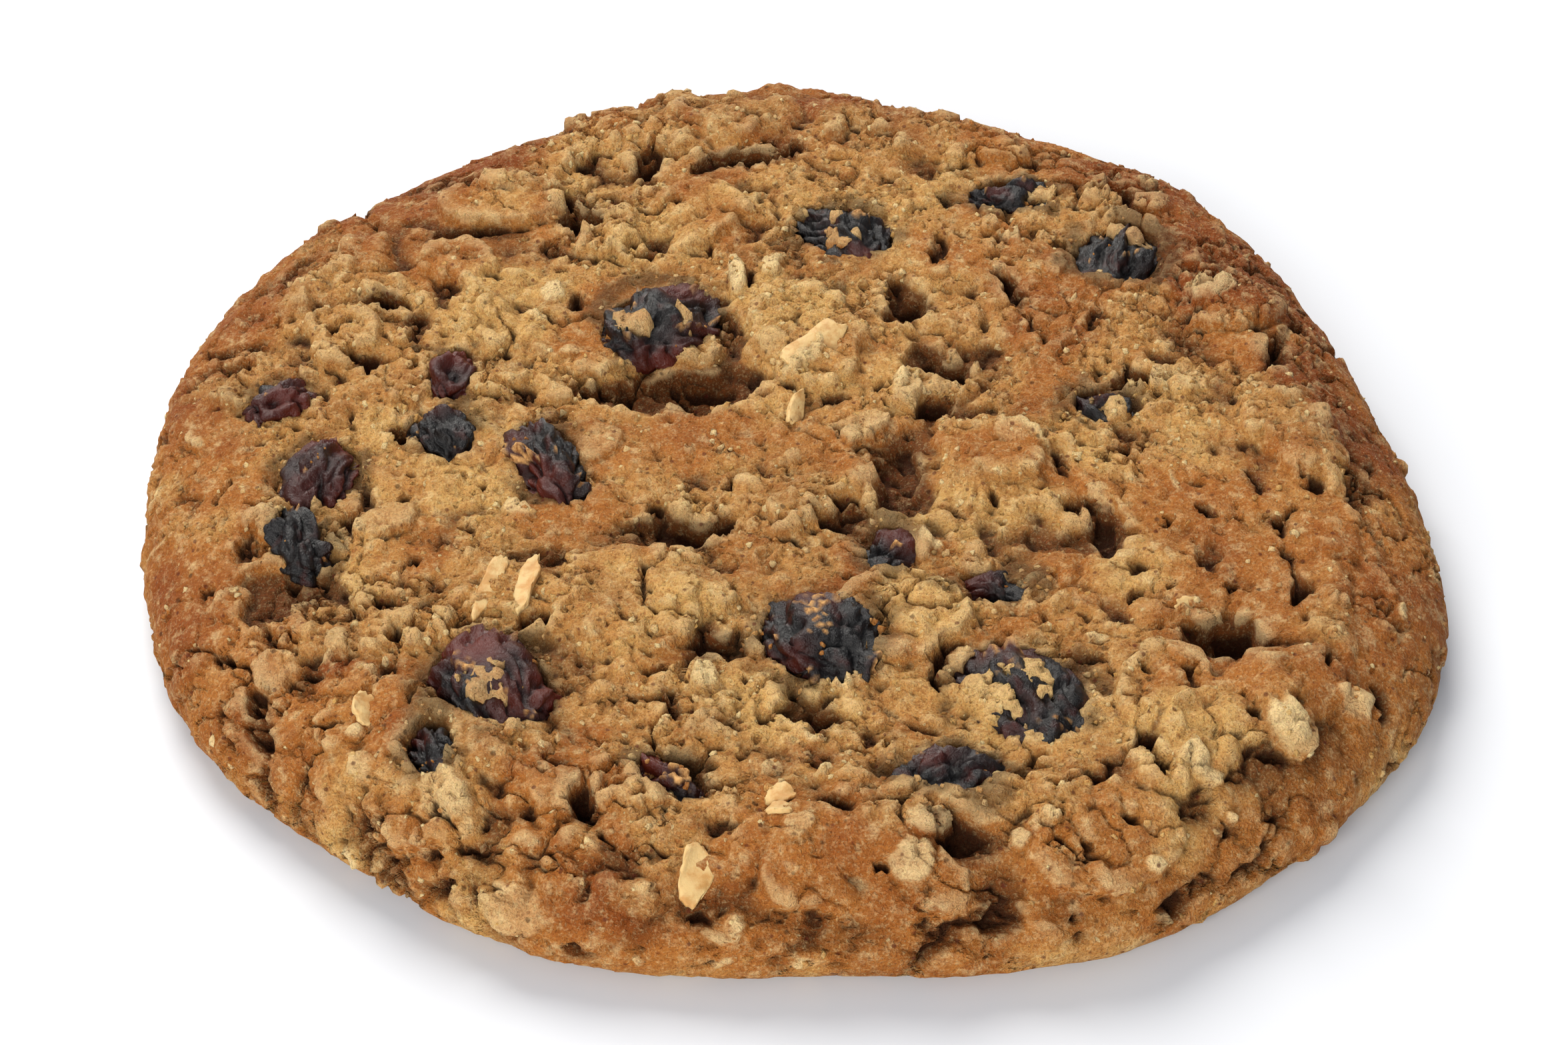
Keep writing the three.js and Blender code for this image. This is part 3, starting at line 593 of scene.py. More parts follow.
@dataclass
class Crust:
    """The dough's skin as a map over its unrolled cross-section: where it lies and how it is baked.

    The map's middle is the middle of the top, and its edge is the line where the side meets the table.
    """

    raisins: list[RaisinForm]
    step: float = 0.12  # between the map's lines
    ragged: tuple[float, float] = (0.65, 0.16)  # how far lines wander, widely and finely
    broken: float = 1.7  # how much further the sides of hollows wander
    plate_fade: tuple[float, float] = (0.7, 1.12)  # shares of a plate's size between which it slopes down
    hollow_fade: tuple[float, float] = (0.3, 1.15)
    gap_fade: tuple[float, float] = (0.35, 1.1)
    hollow_depth: float = 1.15  # how much deeper the hollows are than in the solid
    wave_size: float = 5.5
    wave_rise: tuple[float, float] = (0.6, 0.5)  # on smooth skin, and what torn crumb adds
    ledge: float = 1.2  # height of one ledge
    ledge_share: float = 0.6  # how much of a slope the ledges take up
    crease_sizes: tuple[float, float] = (6.5, 3.0)
    crease_depths: tuple[float, float] = (1.0, 0.5)
    crevice_sizes: tuple[float, float] = (5.2, 2.3)
    crevice_depths: tuple[float, float] = (0.5, 0.18)
    curd_sizes: tuple[float, float, float, float] = (4.4, 1.9, 3.0, 1.0)
    crumb_rises: tuple[float, float, float, float] = (0.35, 0.25, 0.55, 0.4)  # of those curds where it tore
    skin_rises: tuple[float, float, float, float] = (0.2, 0.1, 0.2, 0.14)  # of those curds on smooth skin
    overhang: float = 0.1  # how far the lips of ledges hang over
    headroom: float = 0.5  # how far under its limits the skin begins to flatten
    coated_oats: int = 170
    coat_paleness: float = 0.75
    small_gaps: int = 220
    edge_margin: float = 4.0  # from the foot, where no oat or gap is laid
    seed: int = 41
    arc: Array = field(init=False)
    section: Array = field(init=False)
    normal: Array = field(init=False)
    reach: float = field(init=False)
    spacing: float = field(init=False)
    u: Array = field(init=False)
    v: Array = field(init=False)
    frayed: list[Array] = field(init=False)  # u and v pushed about, which gives every form a ragged edge
    share: Array = field(init=False)
    torn: Array = field(init=False)
    pale: Array = field(init=False)
    stain: Array = field(init=False)
    open: Array = field(init=False)
    push: Array = field(init=False)
    cavity: Array = field(init=False)
    valley: Array = field(init=False)
    moist_and_shade: Array = field(init=False)
    brown: Array = field(init=False)
    level: Array = field(init=False)
    lean_u: Array = field(init=False)
    lean_v: Array = field(init=False)

    def __post_init__(self) -> None:
        """Works out the cross-section and then every map."""
        self._make_section()
        self.reach = self.arc[-1] + 1.0
        line = np.linspace(-self.reach, self.reach, int(2 * self.reach / self.step))
        self.u, self.v = np.meshgrid(line, line, indexing="ij")
        self.spacing = line[1] - line[0]
        self._make_maps()

    def _make_section(self) -> None:
        """The cross-section from the middle of the top round the edge to the table, by arc length."""
        t = np.linspace(0, math.pi / 2, 200)
        shoulder, foot = MEAN_RADIUS - SHOULDER_WIDTH, MEAN_RADIUS - FOOT_INSET
        crown = CROWN_HEIGHT - WIDEST_HEIGHT
        top = np.c_[np.linspace(0, shoulder, 100)[:-1], np.full(99, CROWN_HEIGHT)]
        over = np.c_[shoulder + SHOULDER_WIDTH * np.sin(t), WIDEST_HEIGHT + crown * np.cos(t)]
        under = np.c_[foot + FOOT_INSET * np.cos(t), WIDEST_HEIGHT * (1 - np.sin(t))][1:]
        self.section = np.r_[top, over, under]
        steps = np.diff(self.section, axis=0)
        self.arc = np.r_[0, np.cumsum(np.hypot(*steps.T))]
        along = np.gradient(self.section, self.arc, axis=0)
        along /= np.linalg.norm(along, axis=1, keepdims=True)
        self.normal = np.c_[-along[:, 1], along[:, 0]]

    def edge_radius(self, angle: Array) -> Array:
        """The edge's radius in each direction."""
        waves = (size * np.cos(k * angle - math.radians(phase)) for k, size, phase in EDGE_WAVES)
        return MEAN_RADIUS + sum(waves)

    def smooth_place(self, u: Array, v: Array) -> tuple[Array, ...]:
        """Where unrolled places lie on the smooth form.

        Args:
            u: unrolled places across the cookie.
            v: unrolled places along the cookie.

        Returns:
            x, y and z, and the outward normal's reach from the axis and its rise.
        """
        s, angle = np.hypot(u, v), np.arctan2(v, u)
        r, z = (np.interp(s, self.arc, self.section[:, k]) for k in (0, 1))
        nr, nz = (np.interp(s, self.arc, self.normal[:, k]) for k in (0, 1))
        radius = r * self.edge_radius(angle) / MEAN_RADIUS
        return radius * np.cos(angle), radius * np.sin(angle), z, nr, nz

    def unrolled(self, x: float, y: float) -> tuple[float, float]:
        """The unrolled place of a point on the top, given its place over the table."""
        angle = math.atan2(y, x)
        upper = int(np.argmax(self.section[:, 0])) + 1
        r = math.hypot(x, y) * MEAN_RADIUS / float(self.edge_radius(np.array(angle)))
        s = float(np.interp(r, self.section[:upper, 0], self.arc[:upper]))
        return s * math.cos(angle), s * math.sin(angle)

    def _laid(
        self, oval: list[float] | tuple[float, ...], reach: float = 1.2, spare: float = 1.5
    ) -> tuple[tuple[float, ...], tuple[slice, slice]]:
        """Lays an oval on the map.

        Args:
            oval: its centre over the table, and its half sizes and turn.
            reach: how many times its half size it can touch.
            spare: how much further, in millimetres, since its edge is ragged.

        Returns:
            The oval with its centre unrolled, and the part of the map round it.
        """
        place = self.unrolled(*oval[:2])
        return (*place, *oval[2:]), self._window(*place, reach * max(oval[2:4]) + spare)

    def raised(self, u: Array, v: Array, share: Array) -> Array:
        """The rim, the sag and the plates, which the solid has too.

        Args:
            u: unrolled places across the cookie.
            v: unrolled places along the cookie.
            share: each place's share of the way from the middle to the edge.

        Returns:
            The relief along the skin's normal.
        """
        where, width, height = RIM_RIDGE
        relief = height * np.exp(-(((share - where) / width) ** 2))
        relief -= CENTRE_SAG[0] * fade(share, *CENTRE_SAG[1:])
        relief += SWELL[1] * Noise.soft(u / SWELL[0], v / SWELL[0], 8)
        for *plate, height in PLATES:
            oval, here = self._laid(plate)
            relief[here] += height * fade(oval_distance(u[here], v[here], oval), *self.plate_fade)
        return relief

    def sunken(self, u: Array, v: Array) -> Array:
        """Depth of the hollows and cracks, which the solid has too."""
        depth = np.zeros_like(u)
        for *hollow, most in HOLLOWS:
            oval, here = self._laid(hollow)
            distance = oval_distance(u[here], v[here], oval)
            depth[here] = np.maximum(depth[here], most * fade(distance, *self.hollow_fade))
        for crack in CRACKS:
            half = math.hypot(crack[4] - crack[0], crack[5] - crack[1]) / 2 + 2 * crack[6] + 3.0
            here = self._window(*self.unrolled(*crack[2:4]), half)
            depth[here] = np.maximum(depth[here], self._crack(u[here], v[here], crack))
        return depth

    def _crack(self, u: Array, v: Array, crack: tuple[float, ...]) -> Array:
        """Depth of one crack at each place: deepest in its middle, with crumbs bridging it here and there."""
        (x0, y0), (x1, y1), (x2, y2) = (self.unrolled(*crack[k : k + 2]) for k in (0, 2, 4))
        half_width, depth = crack[6:]
        nearest, along = np.full_like(u, 99.0), np.zeros_like(u)
        for t in np.linspace(0, 1, 25):
            cx = (1 - t) ** 2 * x0 + 2 * t * (1 - t) * x1 + t**2 * x2
            cy = (1 - t) ** 2 * y0 + 2 * t * (1 - t) * y1 + t**2 * y2
            distance = np.hypot(u - cx, v - cy) / (0.45 + 0.55 * math.sin(math.pi * t))
            along = np.where(distance < nearest, t, along)
            nearest = np.minimum(nearest, distance)
        nearest += 0.75 * Noise.layered(u, v, 1.7, 110, 4)
        deep = depth * (0.6 + 0.4 * np.sin(math.pi * along)) * (1 + 0.35 * Noise.layered(u, v, 2.6, 112, 2))
        bridged = rise(Noise.layered(u, v, 1.9, 114, 2), -0.35, 0.1)
        return deep * (0.2 + 0.8 * bridged) * fade(nearest, 0.1 * half_width, 1.1 * half_width)

    def _terraced(self, height: Array) -> Array:
        """The relief with its slopes turned into ledges with steep edges, as crust that rose and broke."""
        steps = height / self.ledge
        whole = np.floor(steps)
        ledges = self.ledge_share * self.ledge * (whole + rise(steps - whole, 0.34, 0.62))
        return ledges + (1 - self.ledge_share) * height

    def _creases(self) -> Array:
        """Depth of the thin wandering cracks, which are most common round the rim."""
        u, v = self.u, self.v
        line = np.abs(Noise.layered(u, v, self.crease_sizes[0], 50, 5))
        fine = np.abs(Noise.layered(u, v, self.crease_sizes[1], 56, 4))
        rim = rise(self.share, 0.6, 0.9)
        here = rise(Noise.layered(u, v, 9.0, 31) + 0.25 * rim, 0.0, 0.35)
        there = rise(Noise.layered(u, v, 6.0, 32) + 0.3 * rim, 0.0, 0.4)
        wide, thin = self.crease_depths
        return wide * here * fade(line, 0.01, 0.07) + thin * there * fade(fine, 0.01, 0.10)

    def _crevices(self) -> Array:
        """Depth of the crevices between the curds that the dough rose in, large ones and small ones."""
        u, v = self.frayed
        drift_u, drift_v = (1.1 * Noise.layered(u, v, 3.4, seed) for seed in (150, 152))
        large = Noise.borders(u + drift_u, v + drift_v, self.crevice_sizes[0], 154)
        small = Noise.borders(u + 0.6 * drift_u, v + 0.6 * drift_v, self.crevice_sizes[1], 157)
        rim = rise(self.share, 0.5, 0.8)
        here = rise(Noise.layered(self.u, self.v, 8.0, 159) - 0.2 * rim, -0.15, 0.35)
        there = self.torn * rise(Noise.layered(self.u, self.v, 6.0, 161), -0.1, 0.4)
        deep, shallow = self.crevice_depths
        return deep * here * fade(large, 0.0, 0.26) + shallow * there * fade(small, 0.0, 0.3)

    def _torn_places(self) -> Array:
        """How far the crust broke open at each place, from smooth skin at 0 to loose crumb at 1."""
        patches = Noise.layered(self.u, self.v, 7.5, 33, 3) + 0.2
        torn = rise(patches - 0.5 * rise(self.share, 0.75, 0.95), -0.2, 0.4)
        for smooth in SMOOTH:
            oval, here = self._laid(smooth)
            distance = oval_distance(self.frayed[0][here], self.frayed[1][here], oval)
            torn[here] *= 1 - 0.85 * fade(distance, 0.7, 1.15)
        return torn

    def _roughness(self) -> Array:
        """Relief of the torn crumb and of the smooth skin between it."""
        u, v = self.frayed
        sizes = self.curd_sizes
        curds = np.abs(Noise.layered(u, v, sizes[0], 60, 2))
        small = np.abs(Noise.layered(u, v, sizes[1], 64, 2))
        lumps = Noise.layered(u, v, sizes[2], 68, 4)
        fine = Noise.layered(u, v, sizes[3], 66, 3)
        crumb, skin = (
            a * curds + b * small + c * lumps + d * fine - 0.1
            for a, b, c, d in (self.crumb_rises, self.skin_rises)
        )
        pores = rise(Noise.layered(self.u, self.v, 1.0, 70, 2), 0.36, 0.6)
        bubbles = rise(Noise.soft(self.u / 0.55, self.v / 0.55, 73), 0.45, 0.8)
        pitted = (0.15 + 0.35 * self.torn) * pores + (0.08 + 0.14 * self.torn) * bubbles
        return self.torn * crumb + (1 - self.torn) * skin - pitted

    def _lay_nubs(self, relief: Array) -> None:
        """Raises the pale oats and curds that stand out of the crust.

        Args:
            relief: the relief's map, changed in place.
        """
        for x, y, half_long, half_wide, turn, height, pale in NUBS:
            oval, here = self._laid((x, y, half_long, half_wide, turn), reach=1.0, spare=1.0)
            u, v = self.u[here], self.v[here]
            ragged_edge = 0.5 * Noise.layered(u + 40 * height, v, 1.0, 82)
            distance = oval_distance(u, v, oval)
            lies = fade(distance + ragged_edge, 0.6, 1.0)
            ruffle = 0.35 * Noise.layered(u, v, 0.8, 83, 2)
            relief[here] += lies * (0.8 * height * (1 - 0.3 * distance**2) + ruffle)
            self.pale[here] = np.maximum(self.pale[here], pale * lies)

    def _somewhere(self, draw: np.random.Generator) -> tuple[float, float]:
        """A random unrolled place, away from the foot."""
        reach = (self.arc[-1] - self.edge_margin) * math.sqrt(draw.random())
        angle = draw.uniform(0, 2 * math.pi)
        return reach * math.cos(angle), reach * math.sin(angle)

    def _open_gaps(self, relief: Array, raised: Array) -> None:
        """Cuts the ragged gaps down to their depth under the raised skin.

        Args:
            relief: the relief's map, changed in place.
            raised: the relief of the rim, the sag and the plates alone.
        """
        draw = np.random.default_rng(self.seed + 1)
        gaps = [(*self.unrolled(x, y), *rest) for x, y, *rest in GAPS]
        for _ in range(self.small_gaps):
            place = self._somewhere(draw)
            shape = [draw.uniform(*limits) for limits in ((0.25, 0.75), (0.2, 0.4), (0, 180))]
            depth = draw.uniform(0.7, 1.5)
            wanted = 0.05 + 0.95 * float(self.sample(self.torn, *(np.array([c]) for c in place))[0])
            if draw.random() < wanted:
                gaps.append((*place, *shape, depth))
        for cu, cv, *shape, depth in gaps:
            here = self._window(cu, cv, 1.2 * max(shape[:2]) + 1.8)
            u, v = self.u[here], self.v[here]
            drift_u = Noise.layered(u, v, 1.6, 84) + 0.5 * Noise.layered(u, v, 0.6, 86, 2)
            drift_v = Noise.layered(u, v, 1.6, 88) + 0.5 * Noise.layered(u, v, 0.6, 89, 2)
            opened = fade(oval_distance(u + drift_u, v + drift_v, (cu, cv, *shape)), *self.gap_fade)
            opened *= 0.3 + 0.7 * rise(Noise.layered(u, v, 2.0, 115, 2), -0.5, -0.05)
            floor = raised[here] - depth * (0.75 + 0.5 * drift_u) + 0.35 * drift_v
            relief[here] -= opened * np.maximum(relief[here] - floor, 0.0)

    def _lay_coated_oats(self, relief: Array) -> Array:
        """Lays oats under a film of dough over the relief: tilted discs whose edges show as steps.

        Args:
            relief: the relief's map, changed in place.

        Returns:
            How far each place belongs to such an oat, from 0 to 1.
        """
        draw = np.random.default_rng(self.seed)
        cover = np.zeros_like(relief)
        for _ in range(self.coated_oats):
            place = self._somewhere(draw)
            shape = [draw.uniform(*limits) for limits in ((1.0, 2.4), (0.7, 1.5), (0, 180))]
            lift = draw.uniform(-0.2, 0.1)
            self._lay_oat(relief, cover, (*place, *shape), draw.normal(0, 0.24, 2), lift, draw.random())
        for x, y, length, width, turn, _, bare in FLAKES:
            if bare < BARE:
                place = self.unrolled(x, y)
                shape = (length / 2, width / 2, turn)
                self._lay_oat(relief, cover, (*place, *shape), draw.normal(0, 0.12, 2), 0.45, draw.random())
        return cover

    def _lay_oat(
        self, relief: Array, cover: Array, oval: tuple[float, ...], lean: Array, lift: float, chance: float
    ) -> None:
        """Lays one oat over the relief.

        Args:
            relief: the relief's map, changed in place.
            cover: how far each place belongs to an oat, changed in place.
            oval: the oat's unrolled centre, half sizes and turn.
            lean: its slope each way.
            lift: how far it stands over the relief.
            chance: picks how its edge is torn.
        """
        cu, cv = oval[:2]
        here = self._window(cu, cv, oval[2] + 0.8)
        u, v = self.u[here], self.v[here]
        torn = 0.42 * Noise.layered(u + 90 * chance, v, 1.5, 80)
        distance = oval_distance(u, v, oval) + torn
        part = relief[here]
        level = float(np.median(part)) + lift
        plane = level + lean[0] * (u - cu) + lean[1] * (v - cv) - 0.1 * distance**2
        lies = fade(distance, 0.92, 1.04)
        raised = np.maximum(part, plane) * lies + part * (1 - lies)
        belongs = lies * rise(raised - part, 0.0, 0.15)
        cover[here] = np.maximum(cover[here], belongs * (0.15 + 0.85 * chance**1.6))
        relief[here] = raised

    def _window(self, cu: float, cv: float, half: float) -> tuple[slice, slice]:
        """The part of the map round a place."""
        last = self.u.shape[0]
        lows, highs = (
            [int((c + side * half + self.reach) / self.spacing) for c in (cu, cv)] for side in (-1, 1)
        )
        return tuple(slice(max(0, low), min(last, high + 1)) for low, high in zip(lows, highs, strict=True))

    def _make_maps(self) -> None:
        """The relief, and what the finish needs to know of each place."""
        u, v = self.u, self.v
        x, y, z, nr, nz = self.smooth_place(u, v)
        coarse, fine = self.ragged
        self.frayed = [
            line + coarse * Noise.layered(u, v, 2.4, seed) + fine * Noise.layered(u, v, 0.9, seed + 2, 2)
            for line, seed in ((u, 90), (v, 94))
        ]
        self.share = np.hypot(x, y) / self.edge_radius(np.arctan2(y, x))
        plain = self.raised(u, v, self.share)
        raised = self.raised(*self.frayed, self.share)
        broken = [
            line + self.broken * Noise.layered(u, v, 3.4, seed)
            for line, seed in zip(self.frayed, (116, 118), strict=True)
        ]
        hollow = self.sunken(*broken)
        self.torn = np.maximum(self._torn_places(), 0.6 * rise(hollow, 0.3, 1.2))
        on_skin, on_crumb = self.wave_rise
        waves = (on_skin + on_crumb * self.torn) * Noise.layered(*self.frayed, self.wave_size, 30, 4)
        relief = self._terraced(raised - self.hollow_depth * hollow + waves)
        self.pale = self.coat_paleness * self._lay_coated_oats(relief)
        relief += self._roughness() - self._crevices()
        self._lay_nubs(relief)
        relief -= self._creases()
        self._open_gaps(relief, raised)
        relief += (0.07 + 0.1 * self.torn) * Noise.layered(u, v, 0.6, 98, 2)
        rough = Noise.layered(u, v, 2.2, 120)
        self._clear_raisins(relief, plain - hollow, x, y, rough)
        calm = rise(z, -0.3, 1.7)
        self.push = relief * calm
        self._seat_raisins(x, y, z, nz)
        deep = self._blur(self.push, 0.35)
        # How far each place lies under its near and its wider surroundings, from which the finish paints
        # shade and highlights.
        self.cavity = self._blur(self.push, 0.9) - self.push
        self.valley = self._blur(self.push, 4.0) - deep
        # Damp crumb in the deep hollows and by the raisins; in the hollows it is also painted shade.
        self.moist_and_shade = np.maximum(rise(hollow, 0.4, 1.6), 0.45 * self.stain)
        self.brown = self._browning(u, v)
        self.level = self._blur(self.push, 0.8)
        lip = np.clip(0.5 + (deep - self._blur(self.push, 1.4)) / 0.7, 0, 1)
        slope_u, slope_v = np.gradient(deep, self.spacing)
        steep = np.maximum(np.hypot(slope_u, slope_v), 1e-6)
        reach = -self.overhang * np.minimum(steep, 3.0) / steep * lip * calm
        self.lean_u, self.lean_v = reach * slope_u, reach * slope_v

    def _browning(self, u: Array, v: Array) -> Array:
        """How far the dough browned, from pale at 0 through its middle tone at 0.5 to toasted at 1, with one
        paler patch on the front rim that is painted light.
        """
        brown = 0.5 + 0.52 * Noise.layered(u, v, 8.0, 130, 4) + 0.2 * rise(self.share, 0.7, 0.9)
        brown -= 0.3 * rise(np.hypot(u, v), self.arc[-1] - 8.0, self.arc[-1] - 3.0)
        for *patch, amount in BROWNINGS:
            oval, here = self._laid(patch, reach=1.3)
            distance = oval_distance(self.frayed[0][here], self.frayed[1][here], oval)
            brown[here] += 0.5 * amount * fade(distance, 0.4, 1.25)
        return np.clip(brown, 0, 1)

    def _clear_raisins(self, relief: Array, plain: Array, x: Array, y: Array, rough: Array) -> None:
        """Calms the skin round each raisin, and opens it over those that hardly stand out of it.

        Args:
            relief: the relief's map, changed in place.
            plain: the relief without its crags.
            x: places across the cookie.
            y: places along the cookie.
            rough: noise that frays the opening.
        """
        self.stain = np.zeros_like(x)
        for raisin in self.raisins:
            halves = 1 / np.sqrt(np.diag(raisin.shape)[:2])
            reach = np.hypot((x - raisin.centre[0]) / halves[0], (y - raisin.centre[1]) / halves[1])
            distance = (reach - 1) * halves.mean()
            middle = np.unravel_index(np.argmin(reach), reach.shape)
            standing = raisin.top - CROWN_HEIGHT - plain[middle]
            sink = 0.1 + max(0.0, 1.3 - standing)
            near = fade(distance + 1.2 * rough, -1.3, 0.3)
            relief += 0.9 * near * (0.6 * (plain - relief) - sink)
            self.stain = np.maximum(self.stain, fade(distance + 2.0 * rough, -0.3, 3.0))
        self.stain *= 0.3 + 0.7 * rise(Noise.layered(x, y, 3.6, 122), -0.25, 0.25)

    def _seat_raisins(self, x: Array, y: Array, z: Array, nz: Array) -> None:
        """Opens the skin where a raisin stands out of it, and draws dough over a raisin where it crept."""
        steep = np.maximum(nz, 0.45)
        skin = z + nz * self.push
        creep = np.zeros_like(x)
        rough = Noise.layered(x, y, 1.7, 100, 4)
        lumps, crumbs = Noise.layered(x, y, 1.6, 102, 3), Noise.layered(x, y, 0.7, 104, 2)
        for cover in COVERS:
            distance = oval_distance(x, y, cover) + 1.1 * rough + 0.5 * crumbs
            creep = np.maximum(creep, fade(distance, 0.6, 1.0))
        creep *= rise(Noise.layered(x, y, 1.5, 106, 3), -0.6, -0.25)
        self.stain *= 1 - creep
        self.open = np.zeros_like(x)
        for raisin in self.raisins:
            middle, top = raisin.surfaces(x, y)
            inside = ~np.isnan(top)
            middle, top = np.where(inside, middle, 0.0), np.where(inside, top, -99.0)
            film = top + 0.4 + 1.1 * lumps + 0.6 * crumbs
            over = inside & (creep > 0.02)
            lifted = skin + (film - skin) * creep
            shown = inside & (top > skin + 1.1 * rough - 0.35) & (creep < 0.5)
            depth = np.minimum(skin, middle + 0.25 * (top - middle))
            target = np.where(shown, depth, np.where(over & (film > skin), lifted, skin))
            self.open = np.maximum(self.open, shown)
            self.push += np.where(inside, (target - skin) / steep, 0.0)
            skin = np.where(inside, target, skin)

    def _blur(self, values: Array, radius: float) -> Array:
        """A map smoothed over a radius in millimetres."""
        frequency = np.fft.fftfreq(values.shape[0], self.spacing)
        keep = np.exp(-2 * (math.pi * radius * frequency) ** 2)
        return np.real(np.fft.ifft2(np.fft.fft2(values) * np.outer(keep, keep)))

    def sample(self, values: Array, u: Array, v: Array) -> Array:
        """A map's values at unrolled places, read between its grid lines."""
        last = values.shape[0] - 1.001
        a = np.clip((u + self.reach) / self.spacing, 0, last)
        b = np.clip((v + self.reach) / self.spacing, 0, last)
        i, j = a.astype(int), b.astype(int)
        s, t = a - i, b - j
        low = values[i, j] * (1 - s) + values[i + 1, j] * s
        high = values[i, j + 1] * (1 - s) + values[i + 1, j + 1] * s
        return low * (1 - t) + high * t

    def skin_places(self, u: Array, v: Array, lift: Array | float = 0.0) -> Array:
        """Where unrolled places lie on the finished skin, in the solid's own box.

        Args:
            u: unrolled places across the cookie.
            v: unrolled places along the cookie.
            lift: how far each place stands out of the skin.

        Returns:
            The places, in millimetres from the cookie's origin.
        """
        angle = np.arctan2(v, u)
        push, lean_u, lean_v = (self.sample(values, u, v) for values in (self.push, self.lean_u, self.lean_v))
        push = push + lift
        x, y, z, nr, nz = self.smooth_place(u + lean_u, v + lean_v)
        x, y, z = x + nr * push * np.cos(angle), y + nr * push * np.sin(angle), z + nz * push
        low, high = (np.array(corner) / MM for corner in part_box("dough"))
        z = held_below(np.maximum(z, 0.0), high[2], self.headroom)
        places = np.c_[x + CENTRING[0], y + CENTRING[1], z]
        for axis in (0, 1):
            middle, half = (low[axis] + high[axis]) / 2, (high[axis] - low[axis]) / 2
            off = places[:, axis] - middle
            places[:, axis] = middle + np.sign(off) * held_below(np.abs(off), half, self.headroom)
        return places

    def skin_height(self, x: float, y: float) -> float:
        """Height of the skin over one place on the top, with its finest detail left out."""
        u, v = (np.array([c]) for c in self.unrolled(x, y))
        place = self.smooth_place(u, v)
        return float(place[2] + place[4] * self.sample(self.level, u, v))


class NodeKind(Enum):
    """The shader nodes that the finishes are made of."""

    COORDINATE = "ShaderNodeTexCoord"
    NOISE = "ShaderNodeTexNoise"
    CELLS = "ShaderNodeTexVoronoi"
    MIX = "ShaderNodeMix"
    MATH = "ShaderNodeMath"
    BUMP = "ShaderNodeBump"
    ATTRIBUTE = "ShaderNodeAttribute"
    SPLIT = "ShaderNodeSeparateColor"
    SPAN = "ShaderNodeMapRange"


def add_node(
    tree: bpy.types.NodeTree,
    kind: NodeKind,
    links: dict[str | int, bpy.types.NodeSocket] | None = None,
    values: dict[str | int, object] | None = None,
    **settings: object,
) -> bpy.types.Node:
    """Adds a node with its settings, values and links.

    Args:
        tree: the material's node tree.
        kind: which node.
        links: input name or number, and the socket that feeds it.
        values: input name or number, and its fixed value.
        settings: the node's own properties.

    Returns:
        The new node.
    """
    node = tree.nodes.new(kind.value)
    for name, value in settings.items():
        setattr(node, name, value)
    for key, value in (values or {}).items():
        node.inputs[key].default_value = value
    for key, socket in (links or {}).items():
        tree.links.new(socket, node.inputs[key])
    return node


@dataclass(frozen=True)
class Speckle:
    """Blotches: their width in millimetres, and the detail and roughness of their noise."""

    size: float
    detail: float = 3.0
    rough: float = 0.55
    kind: ClassVar[NodeKind] = NodeKind.NOISE

    def values(self) -> dict[str, float]:
        """What its node is set to."""
        return {"Scale": 1 / (self.size * MM), "Detail": self.detail, "Roughness": self.rough}


@dataclass(frozen=True)
class Dots:
    """Scattered points, so many millimetres apart, where the pattern falls to nought."""

    spacing: float
    kind: ClassVar[NodeKind] = NodeKind.CELLS

    def values(self) -> dict[str, float]:
        """What its node is set to."""
        return {"Scale": 1 / (self.spacing * MM), "Randomness": 1.0}


@dataclass(frozen=True)
class Tint:
    """A colour that comes on between two values of a mask, up to the most of it that ever shows."""

    mask: str
    none_at: float
    full_at: float
    colour: str
    most: float = 1.0


